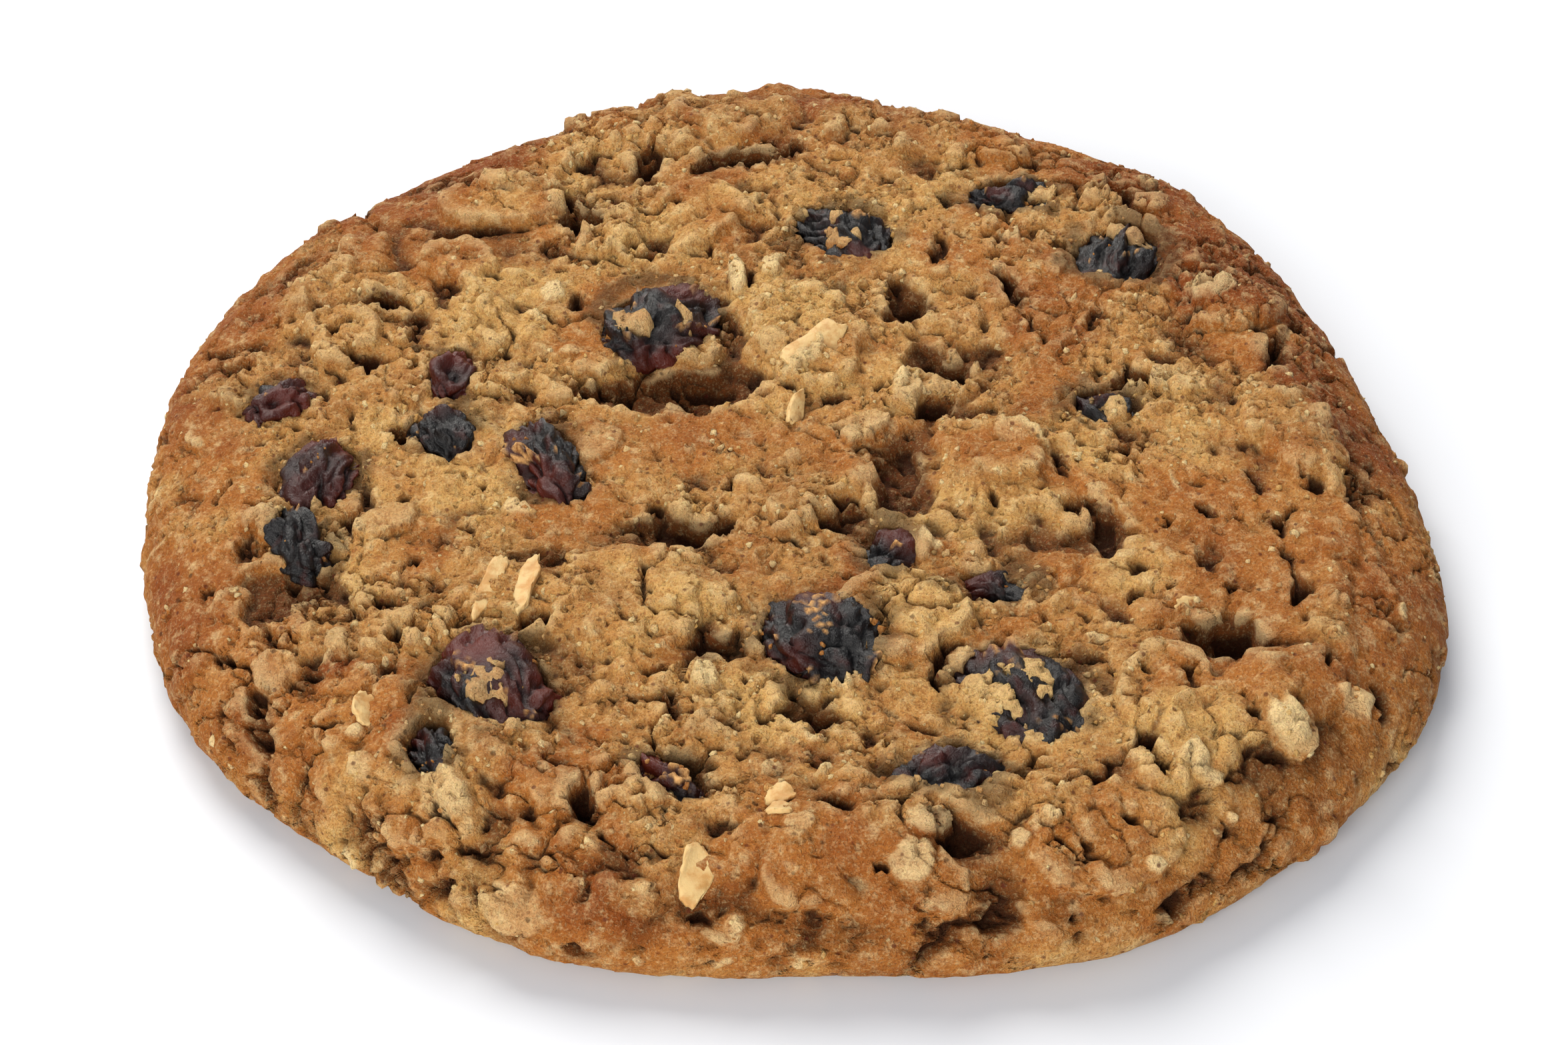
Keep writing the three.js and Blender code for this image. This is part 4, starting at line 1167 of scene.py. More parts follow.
class Coat:
    """A material while it is being made, with the masks that its tints follow."""

    def __init__(self, name: str) -> None:
        """Starts the material.

        Args:
            name: its name.
        """
        self.material = bpy.data.materials.new(name)
        self.material.use_nodes = True
        self.tree = self.material.node_tree
        self.shader = self.tree.nodes["Principled BSDF"]
        self.masks: dict[str, bpy.types.NodeSocket] = {}

    @cached_property
    def place(self) -> bpy.types.NodeSocket:
        """The piece's own places, which every pattern follows."""
        return add_node(self.tree, NodeKind.COORDINATE).outputs["Object"]

    def read(self, attribute: str, *masks: str) -> None:
        """Takes the red, green and blue of a painted attribute as masks, in that order."""
        painted = add_node(self.tree, NodeKind.ATTRIBUTE, attribute_name=attribute).outputs["Color"]
        channels = add_node(self.tree, NodeKind.SPLIT, links={0: painted}).outputs
        self.masks.update(zip(masks, channels, strict=False))

    def strew(self, **patterns: Speckle | Dots) -> None:
        """Adds patterns as masks."""
        for mask, pattern in patterns.items():
            made = add_node(self.tree, pattern.kind, links={"Vector": self.place}, values=pattern.values())
            self.masks[mask] = made.outputs[0]

    def lay(self, under: bpy.types.NodeSocket | str, *tints: Tint) -> bpy.types.NodeSocket:
        """Lays tints on a colour, one after another.

        Args:
            under: the colour below them, a socket or a hex colour.
            tints: what is laid on it.

        Returns:
            The finished colour's socket.
        """
        for tint in tints:
            limits = {"From Min": tint.none_at, "From Max": tint.full_at, "To Min": 0.0, "To Max": tint.most}
            strength = add_node(
                self.tree,
                NodeKind.SPAN,
                links={"Value": self.masks[tint.mask]},
                values=limits,
                interpolation_type="SMOOTHSTEP",
            ).outputs["Result"]
            values = {7: linear(tint.colour)}
            mix = add_node(self.tree, NodeKind.MIX, links={0: strength}, values=values, data_type="RGBA")
            if isinstance(under, str):
                mix.inputs[6].default_value = linear(under)
            else:
                self.tree.links.new(under, mix.inputs[6])
            under = mix.outputs[2]
        return under

    def roughen(self, heights: dict[str, float], strength: float = 1.0) -> None:
        """Bumps the surface by masks, each with its height in millimetres."""
        normal = {}
        for mask, height in heights.items():
            bump = add_node(
                self.tree,
                NodeKind.BUMP,
                links={"Height": self.masks[mask], **normal},
                values={"Strength": strength, "Distance": height * MM},
            )
            normal = {"Normal": bump.outputs["Normal"]}
        self.tree.links.new(normal["Normal"], self.shader.inputs["Normal"])

    def set(self, values: dict[str, float | tuple[float, ...]]) -> None:
        """Sets the shader's own sockets."""
        for name, value in values.items():
            self.shader.inputs[name].default_value = value


@dataclass(frozen=True)
class BakedCrumb:
    """Oat cookie crumb baked in an oven: sugar and butter brown its skin and its hollows stay damp, with
    painted shade in hollows, low places, cracks and pinholes and painted highlights on raised edges.
    """

    pale: str = "#ca9c5a"
    middle: str = "#a8692d"
    toasted: str = "#834114"
    # Also the colour of the painted highlights on edges that stand up.
    oat: str = "#e8cc95"
    # Damp crumb in the hollows, and the painted shade in hollows and low places.
    moist_and_shade: str = "#5a3010"
    # The painted shade in the cracks and pinholes.
    deep: str = "#2c1305"
    stained: str = "#46331b"
    speck: str = "#571f12"

    def make(self) -> bpy.types.Material:
        """Makes the material."""
        coat = Coat("baked_oat_crumb")
        # Masks for the painted shade and painted highlights.
        coat.read("painted_light", "cavity", "valley")
        coat.read("layer", "oats", "stain", "under")
        coat.read("oven", "brown", "moist_and_shade", "torn")
        coat.strew(
            blotch=Speckle(4.0, 4.0),
            patch=Speckle(1.5, 4.0, 0.65),
            curd=Speckle(0.8, 3.0, 0.6),
            grain=Speckle(0.42, 2.0, 0.7),
            sand=Speckle(0.2, 1.0, 0.5),
            crumbs=Speckle(0.6, 5.0, 0.8),
            pinholes=Dots(2.1),
            specks=Dots(1.5),
        )
        colour = coat.lay(
            self.pale,
            # The skin goes from pale through golden to toasted, and crumb that broke open is paler inside.
            Tint("brown", 0.12, 0.5, self.middle),
            Tint("brown", 0.5, 0.98, self.toasted),
            Tint("torn", 0.2, 1.0, self.pale, 0.5),
            # Blotches of a few millimetres, and curds of a millimetre or so that browned less.
            Tint("blotch", 0.5, 0.7, self.toasted, 0.45),
            Tint("patch", 0.52, 0.70, self.oat, 0.4),
            Tint("curd", 0.52, 0.70, self.oat, 0.2),
            Tint("curd", 0.48, 0.32, self.toasted, 0.3),
            Tint("oats", 0.15, 1.0, self.oat, 0.85),
            # Damp crumb down in the hollows, browner and darker, partly as painted shade, and painted shade
            # in the low places.
            Tint("moist_and_shade", 0.1, 1.0, self.moist_and_shade, 0.8),
            Tint("valley", 0.52, 0.80, self.moist_and_shade, 0.9),
            # Sugar and flour grains: light and brown dots a fifth to a half of a millimetre wide.
            Tint("grain", 0.54, 0.76, self.oat, 0.24),
            Tint("grain", 0.48, 0.28, self.toasted, 0.45),
            Tint("sand", 0.54, 0.74, self.oat, 0.15),
            Tint("sand", 0.48, 0.28, self.toasted, 0.25),
            # Painted highlights on edges that stand up, and painted shade in the cracks, both following the
            # cavity.
            Tint("cavity", 0.44, 0.20, self.oat, 0.35),
            Tint("cavity", 0.54, 0.84, self.deep, 0.85),
            # Juice stains the crumb by the raisins, and the base is toasted.
            Tint("stain", 0.15, 0.9, self.stained, 0.6),
            Tint("under", 0.0, 1.0, self.toasted, 0.8),
            # Pinholes where steam broke through the skin, as painted shade, and rare dark red specks of
            # spice.
            Tint("pinholes", 0.13, 0.05, self.deep, 0.6),
            Tint("specks", 0.15, 0.07, self.speck, 0.7),
        )
        coat.tree.links.new(colour, coat.shader.inputs["Base Color"])
        coat.set(
            {
                "Roughness": 0.72,
                "Specular IOR Level": 0.12,
                "Subsurface Weight": 0.15,
                "Subsurface Radius": (1.0, 0.45, 0.2),
                "Subsurface Scale": 0.7 * MM,
            }
        )
        coat.roughen({"crumbs": 0.5, "sand": 0.2})
        return coat.material


@dataclass(frozen=True)
class OatBran:
    """Rolled oat, dried by the oven: a matte pale flake with browner blotches."""

    face: str = "#c3a36c"
    edge: str = "#b08144"
    coat: str = "#a87a42"

    def make(self) -> bpy.types.Material:
        """Makes the material."""
        coat = Coat("toasted_rolled_oat")
        coat.read("bare", "bare")
        coat.strew(blotch=Speckle(1.4, 4.0, 0.6), patches=Speckle(0.9), fibres=Speckle(0.5, 4.0, 0.6))
        bran = coat.lay(self.face, Tint("blotch", 0.42, 0.66, self.edge))

        # The film of dough breaks up where the flake is barest.
        links = {0: coat.masks["patches"], 1: coat.masks["bare"]}
        coat.masks["film"] = add_node(coat.tree, NodeKind.MATH, links=links, operation="ADD").outputs[0]
        colour = coat.lay(bran, Tint("film", 1.1, 0.75, self.coat))
        coat.tree.links.new(colour, coat.shader.inputs["Base Color"])
        coat.set(
            {
                "Roughness": 0.7,
                "Subsurface Weight": 0.2,
                "Subsurface Radius": (1.0, 0.6, 0.3),
                "Subsurface Scale": 0.6 * MM,
            }
        )
        coat.roughen({"fibres": 0.15}, strength=0.7)
        return coat.material


@dataclass(frozen=True)
class RaisinSkin:
    """Dried grape skin, dulled by the oven: blue-black, dark red where it is thin, with smears of dough and
    painted shade in its creases.
    """

    dark: str = "#0a0708"
    red: str = "#581a0c"
    # The painted shade in the creases.
    crease_shade: str = "#040304"
    bloom: str = "#1f1b1d"
    dough: str = "#c0925a"
    dough_dark: str = "#7c5024"

    def make(self) -> bpy.types.Material:
        """Makes the material."""
        coat = Coat("baked_raisin_skin")
        # Ridge holds how far each point is pressed in, which the painted shade in the creases follows.
        coat.read("skin", "ridge", "film", "blush")
        coat.strew(blotch=Speckle(2.0), dust=Speckle(0.5, 4.0, 0.7), wrinkles=Speckle(0.5, 4.0, 0.75))
        skin = coat.lay(
            self.dark,
            Tint("blotch", 0.5, 0.75, self.red, 0.4),
            Tint("blush", 0.2, 1.1, self.red, 0.9),
            # A dusting of dried sugar, and painted shade in the creases.
            Tint("dust", 0.55, 0.75, self.bloom, 0.4),
            Tint("ridge", 0.45, 0.9, self.crease_shade, 0.8),
        )
        smear = coat.lay(self.dough_dark, Tint("dust", 0.35, 0.62, self.dough))
        links = {0: coat.masks["film"], 6: skin, 7: smear}
        colour = add_node(coat.tree, NodeKind.MIX, links=links, data_type="RGBA").outputs[2]
        coat.tree.links.new(colour, coat.shader.inputs["Base Color"])

        # The skin keeps a soft sheen, and the smears are dull.
        dullness = add_node(
            coat.tree,
            NodeKind.SPAN,
            links={"Value": coat.masks["film"]},
            values={"To Min": 0.36, "To Max": 0.85},
            interpolation_type="SMOOTHSTEP",
        )
        coat.tree.links.new(dullness.outputs["Result"], coat.shader.inputs["Roughness"])
        coat.set(
            {
                "Specular IOR Level": 0.32,
                "Subsurface Weight": 0.06,
                "Subsurface Radius": (1.0, 0.15, 0.08),
                "Subsurface Scale": 0.5 * MM,
            }
        )
        coat.roughen({"wrinkles": 0.22})
        return coat.material


def as_mesh(made: bmesh.types.BMesh, name: str) -> bpy.types.Mesh:
    """Turns a bmesh into a mesh, and frees it."""
    mesh = bpy.data.meshes.new(name)
    made.to_mesh(mesh)
    made.free()
    return mesh


def soften(made: bmesh.types.BMesh, factor: float, times: int = 1) -> None:
    """Draws every point towards its neighbours."""
    for _ in range(times):
        bmesh.ops.smooth_vert(
            made, verts=made.verts[:], factor=factor, use_axis_x=True, use_axis_y=True, use_axis_z=True
        )


def finish_piece(
    mesh: bpy.types.Mesh, name: str, material: bpy.types.Material, slot: str, *nodes: str
) -> bpy.types.Object:
    """Puts a finished mesh in the scene as a piece of the cookie.

    Args:
        mesh: the piece's mesh, in place and in metres.
        name: the piece's name.
        material: its finish.
        slot: the name of its material slot; not used.
        nodes: the solids that it stands for.

    Returns:
        The piece.
    """
    mesh.materials.clear()
    mesh.materials.append(material)
    mesh.shade_smooth()
    piece = bpy.data.objects.new(name, mesh)
    bpy.context.scene.collection.objects.link(piece)
    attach(piece, "root")
    if nodes:
        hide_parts(*nodes)
    mesh.calc_loop_triangles()
    log.info("%s: %d triangles", name, len(mesh.loop_triangles))
    return piece


def paint(mesh: bpy.types.Mesh, name: str, *channels: Array) -> None:
    """Stores up to three values from 0 to 1 for each point of a mesh, as a colour that a finish reads."""
    colours = np.ones((len(mesh.vertices), 4), np.float32)
    for k, channel in enumerate(channels):
        colours[:, k] = np.clip(channel, 0, 1)
    layer = mesh.color_attributes.new(name, "FLOAT_COLOR", "POINT")
    layer.data.foreach_set("color", colours.ravel())


@dataclass
class Crumb:
    """The baked dough, with the oats that lie under its skin."""

    crust: Crust
    finish: BakedCrumb = field(default_factory=BakedCrumb)
    fineness: int = 9
    most_triangles: int = 192_000
    underside_weight: float = 0.05

    def build(self) -> bpy.types.Object:
        """Presses an even ball onto the cross-section and gives it the crust's relief."""
        ball = bmesh.new()
        bmesh.ops.create_icosphere(ball, subdivisions=self.fineness, radius=1.0)
        mesh = as_mesh(ball, "crumb_ball")
        directions = np.empty(3 * len(mesh.vertices), np.float32)
        mesh.vertices.foreach_get("co", directions)
        directions = directions.reshape(-1, 3).astype(float)
        directions /= np.linalg.norm(directions, axis=1, keepdims=True)
        arc, base = self._unroll((1 - directions[:, 2]) / 2)
        angle = np.arctan2(directions[:, 1], directions[:, 0])
        u, v = arc * np.cos(angle), arc * np.sin(angle)
        places = self.crust.skin_places(u, v)
        places[:, :2] *= base[:, None]
        places[:, 2] = np.where(base < 1, 0.0, places[:, 2])
        mesh.vertices.foreach_set("co", (places * MM).astype(np.float32).ravel())
        mesh.update()
        crust = self.crust
        cavity, valley, pale, stain = (
            crust.sample(values, u, v) for values in (crust.cavity, crust.valley, crust.pale, crust.stain)
        )
        # Cavity and valley, which the finish turns into painted shade in cracks and low places and painted
        # highlights on edges that stand up.
        paint(mesh, "painted_light", 0.5 + 0.5 * cavity, 0.5 + 0.5 * valley)
        paint(mesh, "layer", pale, stain, np.where(base < 1, 1.0, 0.0))
        oven = (crust.sample(values, u, v) for values in (crust.brown, crust.moist_and_shade, crust.torn))
        paint(mesh, "oven", *oven)
        return finish_piece(self._thin(mesh), "baked_crumb", self.finish.make(), "dough", "dough")

    def _unroll(self, share: Array) -> tuple[Array, Array]:
        """Shares the surface out evenly.

        Args:
            share: how much of the ball's surface lies above each point.

        Returns:
            Each point's arc length from the middle of the top, and its share of the base's radius,
            which is one everywhere but on the base.
        """
        arc, section = self.crust.arc, self.crust.section
        rings = np.diff(arc) * (section[1:, 0] + section[:-1, 0]) / 2
        side = np.r_[0, np.cumsum(rings)]
        base_area = self.underside_weight * section[-1, 0] ** 2 / 2
        total = side[-1] + base_area
        reached = share * total
        inward = np.clip((reached - side[-1]) / base_area, 0, 1)
        return np.interp(reached, side, arc), np.sqrt(1 - inward)

    def _thin(self, mesh: bpy.types.Mesh) -> bpy.types.Mesh:
        """Merges triangles where the crumb is flat, down to the number that a piece may have."""
        holder = bpy.data.objects.new("crumb_holder", mesh)
        bpy.context.scene.collection.objects.link(holder)
        fewer = holder.modifiers.new("fewer", "DECIMATE")
        fewer.ratio = min(1.0, self.most_triangles / len(mesh.polygons))
        seen = holder.evaluated_get(bpy.context.evaluated_depsgraph_get())
        thinned = bpy.data.meshes.new_from_object(seen)
        bpy.data.objects.remove(holder)
        return thinned


@dataclass
class Oats:
    """The rolled oats that show on the crumb."""

    crust: Crust
    finish: OatBran = field(default_factory=OatBran)
    thickness: float = 0.6
    stand: float = 0.3  # of its middle over the skin
    corners: int = 26  # round the edge
    rings: int = 4
    ring_width: float = 0.21  # as a share of the flake's half size

    def build(self) -> bpy.types.Object:
        """Makes every flake and joins them into one piece."""
        every, bare = bmesh.new(), []
        for number, flake in enumerate(f for f in FLAKES if f[6] >= BARE):
            single = self._flake(number, flake)
            bare += [flake[6]] * len(single.verts)
            mesh = as_mesh(single, "one_flake")
            every.from_mesh(mesh)
            bpy.data.meshes.remove(mesh)
        joined = as_mesh(every, "rolled_oats")
        paint(joined, "bare", np.array(bare))
        return finish_piece(joined, "rolled_oats", self.finish.make(), "dough")

    def _flake(self, number: int, flake: tuple[float, ...]) -> bmesh.types.BMesh:
        """One flake: a thin torn oval with a groove along it and a curl.

        Args:
            number: which flake, so that no two are torn and curled alike.
            flake: its centre, length, width, turn and lean.

        Returns:
            The flake, in place and in metres.
        """
        x, y, length, width, turn, lean = flake[:6]
        made = bmesh.new()
        bmesh.ops.create_circle(made, cap_ends=True, segments=self.corners, radius=1.0)
        for _ in range(self.rings):
            middle = max(made.faces, key=lambda face: len(face.verts))
            bmesh.ops.inset_region(made, faces=[middle], thickness=self.ring_width)
        bmesh.ops.triangulate(made, faces=[f for f in made.faces if len(f.verts) > 4])
        bmesh.ops.recalc_face_normals(made, faces=made.faces)
        bmesh.ops.solidify(made, geom=made.faces[:], thickness=self.thickness / width)
        bmesh.ops.subdivide_edges(made, edges=made.edges[:], cuts=1, use_grid_fill=True)
        shift = Vector((7.3 * number, 3.1, 0))
        for vertex in made.verts:
            p = vertex.co
            radius = math.hypot(p.x, p.y)
            flat = Vector((p.x, p.y, 0))
            torn = 0.34 * noise.noise(flat * 1.3 + shift) + 0.2 * noise.noise(flat * 3.7 + shift)
            frayed = 1 + torn * min(1.0, radius)
            groove = 0.16 * math.exp(-((p.y / 0.18) ** 2)) * max(0.0, 1 - p.x**2)
            curl = 0.3 * math.sin(2.1 * p.x + number) * abs(p.x) + 0.25 * p.y**2 * math.sin(number)
            bumps = 0.2 * noise.noise(p * 2.7 + shift)
            top = 1.0 if p.z > 0 else -1.0
            height = p.z * width * (1.05 - 0.45 * radius**4) + (curl + bumps) * 0.9 - top * groove
            vertex.co = Vector((p.x * frayed * length / 2, p.y * frayed * width / 2, height))
        soften(made, 0.4)
        bmesh.ops.transform(made, matrix=self._on_skin(x, y, turn, lean), verts=made.verts[:])
        return made

    def _on_skin(self, x: float, y: float, turn: float, lean: float) -> Matrix:
        """Placement of a flake that follows the slope under it.

        Args:
            x: its middle across the cookie.
            y: its middle along the cookie.
            turn: how far it is turned on the skin.
            lean: how far it leans over its own length.

        Returns:
            The placement, from millimetres to metres.
        """
        height, reach = self.crust.skin_height, SLOPE_REACH
        slope_x = (height(x + reach, y) - height(x - reach, y)) / (2 * reach)
        slope_y = (height(x, y + reach) - height(x, y - reach)) / (2 * reach)
        up = Vector((-slope_x, -slope_y, 1)).normalized()
        level = sum(height(x + i, y + j) for i in (-reach, 0, reach) for j in (-reach, 0, reach)) / 9
        tilt = Vector((0, 0, 1)).rotation_difference(up)
        spin = Quaternion((0, 0, 1), math.radians(turn)) @ Quaternion((1, 0, 0), math.radians(lean))
        place = Vector((x + CENTRING[0], y + CENTRING[1], level)) + up * self.stand
        return Matrix.LocRotScale(place * MM, tilt @ spin, Vector((MM, MM, MM)))


@dataclass
class Raisin:
    """One raisin, grown from its solid: dimples between ridges, folds, wrinkles and smears of dough."""

    form: RaisinForm
    material: bpy.types.Material
    smear: float
    blush: float
    swell: float = 0.85  # before the dimples are pressed in
    dimple: float = 0.9
    fold: float = 0.7
    wrinkle: float = 0.28
    deepest: float = 1.8  # the depth that the finish shows as full painted shade in a fold
    stretch: float = 0.62  # how far the folds are drawn out along the raisin
    give: float = 0.7  # how far under the solid's top it begins to flatten
    seed: int = 5

    def build(self) -> bpy.types.Object:
        """Refines a copy of the solid and presses its dimples in."""
        noise.seed_set(self.seed)  # without it noise vectors start from the clock
        made = bmesh.new()
        made.from_mesh(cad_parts[self.form.name].data)
        bmesh.ops.remove_doubles(made, verts=made.verts[:], dist=0.02 * MM)
        cuts = 5 if len(made.faces) > 100 else 7
        bmesh.ops.subdivide_edges(made, edges=made.edges[:], cuts=cuts, smooth=1.0, use_grid_fill=True)
        bmesh.ops.triangulate(made, faces=[f for f in made.faces if len(f.verts) > 3])
        soften(made, 0.5, times=3)
        made.normal_update()
        shift = Vector((self.form.centre[0], self.form.centre[1], 5.0)) * 3.7
        lengthwise = Vector(np.linalg.eigh(self.form.shape)[1][:, 0])
        moves, states = [], []
        for vertex in made.verts:
            p = vertex.co / MM
            q = p + noise.noise_vector(p * 0.35 + shift) * 1.4
            q -= self.stretch * q.dot(lengthwise) * lengthwise
            broad = min(1.0, abs(noise.noise(q * 0.36 + shift)) * 2.6)
            folded = max(0.0, 1 - abs(noise.noise(q * 0.72 + shift)) * 4.5)
            fine = max(0.0, 1 - abs(noise.noise(q * 1.7 + shift)) * 3.5)
            inward = self.dimple * broad + self.fold * folded + self.wrinkle * fine
            spread = noise.noise(p * 0.5 + shift * 2) + 0.5 * noise.noise(p * 1.6 + shift)
            spread += 0.6 * noise.noise(p * 2.6 + shift) + 0.3 * vertex.normal.z - 0.5 * broad
            film = min(1.0, max(0.0, (spread + self.smear - 0.8) / 0.1))
            crust = film * (0.3 + 0.45 * noise.noise(p * 2.1 + shift))
            moves.append(vertex.normal * (self.swell - inward + crust) * MM)
            red = self.blush + 0.9 * noise.noise(p * 0.22 + shift * 1.7)
            # How far each point is pressed in, for the painted shade in the creases, then the dough film and
            # the red.
            states.append((inward / self.deepest, film, red))
        for vertex, move in zip(made.verts, moves, strict=True):
            vertex.co += move
            vertex.co.z = float(held_below(vertex.co.z, CAD_BOX[1][2], self.give * MM))
        mesh = as_mesh(made, self.form.name)
        paint(mesh, "skin", *np.array(states).T)
        return finish_piece(mesh, self.form.name + "_skin", self.material, "raisin", self.form.name)


@dataclass
class LooseCrumbs:
    """Small torn crumbs that cling where the crust broke, and to the raisins."""

    # What the finish reads on a crumb that is stuck to a raisin.
    STUCK: ClassVar[dict[str, tuple[float, ...]]] = {
        "painted_light": (0.5, 0.5),
        "oven": (0.6, 0.0, 0.5),
        "layer": (0.0, 0.3, 0.0),
    }

    crust: Crust
    raisins: list[bpy.types.Object]
    material: bpy.types.Material
    tries: int = 22_000
    sizes: tuple[float, float] = (0.12, 0.4)
    smallness: float = 2.2  # the higher, the more of them are small
    sunk: float = 0.12
    headroom: float = 0.3
    on_raisins: int = 130
    jitter: float = 0.3
    seed: int = 7

    def build(self) -> bpy.types.Object:
        """Makes one crumb with few faces and joins its scattered, turned and squeezed copies."""
        corners, faces = self._one_crumb()
        draw = np.random.default_rng(self.seed)
        seats, states = self._seats(draw)
        count = len(seats)
        low, high = self.sizes
        size = low + (high - low) * draw.random(count) ** self.smallness
        squeeze = draw.uniform(0.55, 1.1, (count, 1, 3))
        ruffle = 1 + self.jitter * draw.normal(0, 1, (count, len(corners), 1)).clip(-1.6, 1.6)
        turned = np.einsum("nij,nkj->nki", self._turns(draw, count), corners[None] * ruffle * squeeze)
        points = seats[:, None, :] + turned * size[:, None, None]
        points[..., 2] = held_below(points[..., 2], CAD_BOX[1][2] / MM, self.headroom)
        mesh = bpy.data.meshes.new("loose_crumbs")
        every = (faces[None] + len(corners) * np.arange(count)[:, None, None]).reshape(-1, 3)
        mesh.from_pydata((points.reshape(-1, 3) * MM).tolist(), [], every.tolist())
        for name, values in states.items():
            paint(mesh, name, *np.repeat(values, len(corners), axis=0).T)
        return finish_piece(mesh, "loose_crumbs", self.material, "dough")

    @staticmethod
    def _one_crumb() -> tuple[Array, Array]:
        """Corners and faces of a small ball."""
        ball = bmesh.new()
        bmesh.ops.create_icosphere(ball, subdivisions=1, radius=1.0)
        corners = np.array([v.co for v in ball.verts])
        faces = np.array([[v.index for v in f.verts] for f in ball.faces])
        ball.free()
        return corners, faces

    @staticmethod
    def _turns(draw: np.random.Generator, count: int) -> Array:
        """Random turns, as matrices."""
        a, b, c, d = draw.normal(0, 1, (4, count))
        length = np.sqrt(a * a + b * b + c * c + d * d)
        a, b, c, d = a / length, b / length, c / length, d / length
        rows = (
            (1 - 2 * (c * c + d * d), 2 * (b * c - a * d), 2 * (b * d + a * c)),
            (2 * (b * c + a * d), 1 - 2 * (b * b + d * d), 2 * (c * d - a * b)),
            (2 * (b * d - a * c), 2 * (c * d + a * b), 1 - 2 * (b * b + c * c)),
        )
        return np.moveaxis(np.array(rows), 2, 0)

    def _seats(self, draw: np.random.Generator) -> tuple[Array, dict[str, Array]]:
        """Where the crumbs sit, and what their finish reads.

        Args:
            draw: the random numbers.

        Returns:
            Places in millimetres, and the finish's values for each crumb.
        """
        crust = self.crust
        reach = (crust.arc[-1] - 3.5) * np.sqrt(draw.random(self.tries))
        angle = draw.uniform(0, 2 * math.pi, self.tries)
        u, v = reach * np.cos(angle), reach * np.sin(angle)
        torn, cavity = crust.sample(crust.torn, u, v), crust.sample(crust.cavity, u, v)
        wanted = (0.16 + 0.84 * torn) * np.clip(0.75 - 2.0 * cavity, 0, 1)
        wanted *= 1 - crust.sample(crust.open, u, v)
        kept = draw.random(self.tries) < wanted
        u, v = u[kept], v[kept]
        seats = crust.skin_places(u, v, -self.sunk)
        maps = {
            # The painted shade and highlights of the skin under each crumb, the cavity's at half strength.
            "painted_light": (0.5 + 0.25 * crust.cavity, 0.5 + 0.5 * crust.valley),
            "oven": (crust.brown, crust.moist_and_shade, crust.torn),
        }
        states = {name: np.c_[tuple(crust.sample(m, u, v) for m in group)] for name, group in maps.items()}
        states["oven"][:, 0] -= draw.uniform(0.0, 0.35, len(u))
        states["layer"] = np.c_[draw.random(len(u)) ** 2, np.zeros((len(u), 2))]
        stuck = self._on_raisins(draw)
        for name, values in states.items():
            states[name] = np.r_[values, np.tile(self.STUCK[name], (len(stuck), 1))]
        return np.r_[seats, stuck], states

    def _on_raisins(self, draw: np.random.Generator) -> Array:
        """Places on the parts of the raisins that show."""
        found = []
        for raisin in self.raisins:
            for vertex in raisin.data.vertices:
                if vertex.normal.z > 0.35:
                    found.append(vertex.co / MM)
        found = np.array(found)
        x, y = found[:, 0] - CENTRING[0], found[:, 1] - CENTRING[1]
        clump = Noise.layered(x, y, 2.2, 140, 2)
        chance = rise(clump, 0.1, 0.6) + 0.01
        return found[draw.choice(len(found), self.on_raisins, replace=False, p=chance / chance.sum())]


@dataclass(frozen=True)
class Lamp:
    """A round soft light aimed at the cookie, placed and sized in millimetres."""

    name: str
    place: tuple[float, float, float]
    size: float
    watts: float
    colour: str

    def build(self) -> None:
        """Hangs the lamp."""
        light = bpy.data.lights.new(self.name, "AREA")
        light.shape, light.size, light.energy = "DISK", self.size * MM, self.watts
        light.color = linear(self.colour)[:3]
        lamp = bpy.data.objects.new(self.name, light)
        lamp.location = Vector(self.place) * MM
        lamp.rotation_euler = (-lamp.location).to_track_quat("-Z", "Y").to_euler()
        bpy.context.scene.collection.objects.link(lamp)


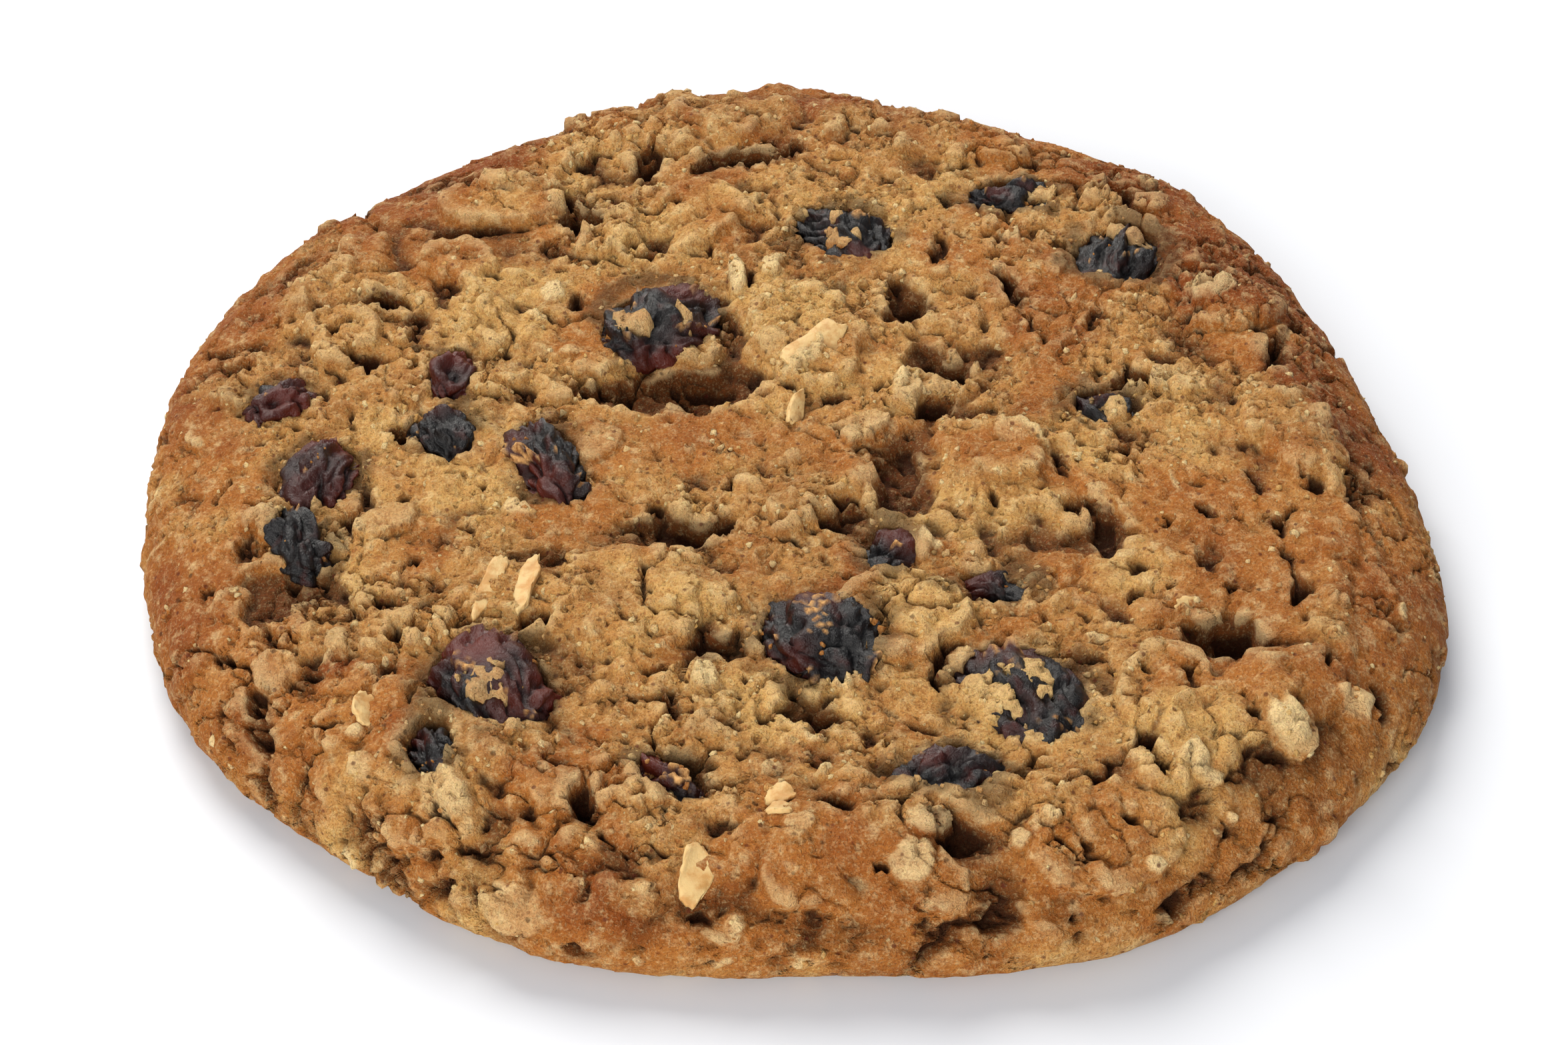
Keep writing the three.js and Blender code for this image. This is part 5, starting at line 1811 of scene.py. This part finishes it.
@dataclass
class Studio:
    """The table, the soft light and the camera."""

    lens: float = 85.0
    sensor: float = 36.0
    distance: float = 283.9
    elevation: float = 40.0
    target: tuple[float, float, float] = (-0.17 + CENTRING[0], -3.71 + CENTRING[1], 3.11)
    table_colour: str = "#cfd1d6"
    table_half_size: float = 3000.0
    sky_colour: str = "#f2f7ff"
    sky_strength: float = 0.44
    window: Lamp = Lamp("window", (-140, 390, 420), 460, 5.3, "#fffbf4")
    fill: Lamp = Lamp("fill", (-150, -490, 220), 380, 3.8, "#fffdf8")

    def build(self) -> None:
        """Sets the table, the lights and the camera."""
        self._table()
        self._sky()
        self.window.build()
        self.fill.build()
        self._camera()

    def _table(self) -> None:
        """A plain pale table top."""
        made = bmesh.new()
        bmesh.ops.create_grid(made, x_segments=1, y_segments=1, size=self.table_half_size * MM)
        mesh = as_mesh(made, "table_top")
        coat = Coat("white_laminate")
        coat.set({"Base Color": linear(self.table_colour), "Roughness": 0.6, "Specular IOR Level": 0.2})
        mesh.materials.append(coat.material)
        table = bpy.data.objects.new("table_top", mesh)
        bpy.context.scene.collection.objects.link(table)

    def _sky(self) -> None:
        """Even white light from all round, as a light tent gives."""
        world = bpy.data.worlds.new("light_tent")
        world.use_nodes = True
        sky = world.node_tree.nodes["Background"].inputs
        sky["Color"].default_value = linear(self.sky_colour)
        sky["Strength"].default_value = self.sky_strength
        bpy.context.scene.world = world

    def _camera(self) -> None:
        """A camera that looks down at the cookie from the front."""
        tilt = math.radians(self.elevation)
        back = Vector((0, -math.cos(tilt), math.sin(tilt)))
        data = bpy.data.cameras.new("front_view")
        data.lens, data.sensor_width = self.lens, self.sensor
        data.clip_start, data.clip_end = 0.01, 20.0
        camera = bpy.data.objects.new("front_view", data)
        camera.location = (Vector(self.target) + back * self.distance) * MM
        camera.rotation_euler = (-back).to_track_quat("-Z", "Y").to_euler()
        bpy.context.scene.collection.objects.link(camera)
        scene = bpy.context.scene
        scene.camera = camera
        scene.view_settings.view_transform = "Standard"


def main() -> None:
    """Builds the cookie and its setting."""
    logging.basicConfig(level=logging.INFO, format="%(name)s %(message)s")
    forms = [RaisinForm.of(name) for name in sorted(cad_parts) if name.startswith("raisin_")]
    crust = Crust(forms)
    crumb = Crumb(crust).build()
    Oats(crust).build()
    skin = RaisinSkin().make()
    raisins = [
        Raisin(form, skin, SMEARS.get(form.name, 0.0), BLUSHES.get(form.name, 0.1)).build() for form in forms
    ]
    LooseCrumbs(crust, raisins, crumb.data.materials[0]).build()
    Studio().build()


if __name__ == "__main__":
    main()
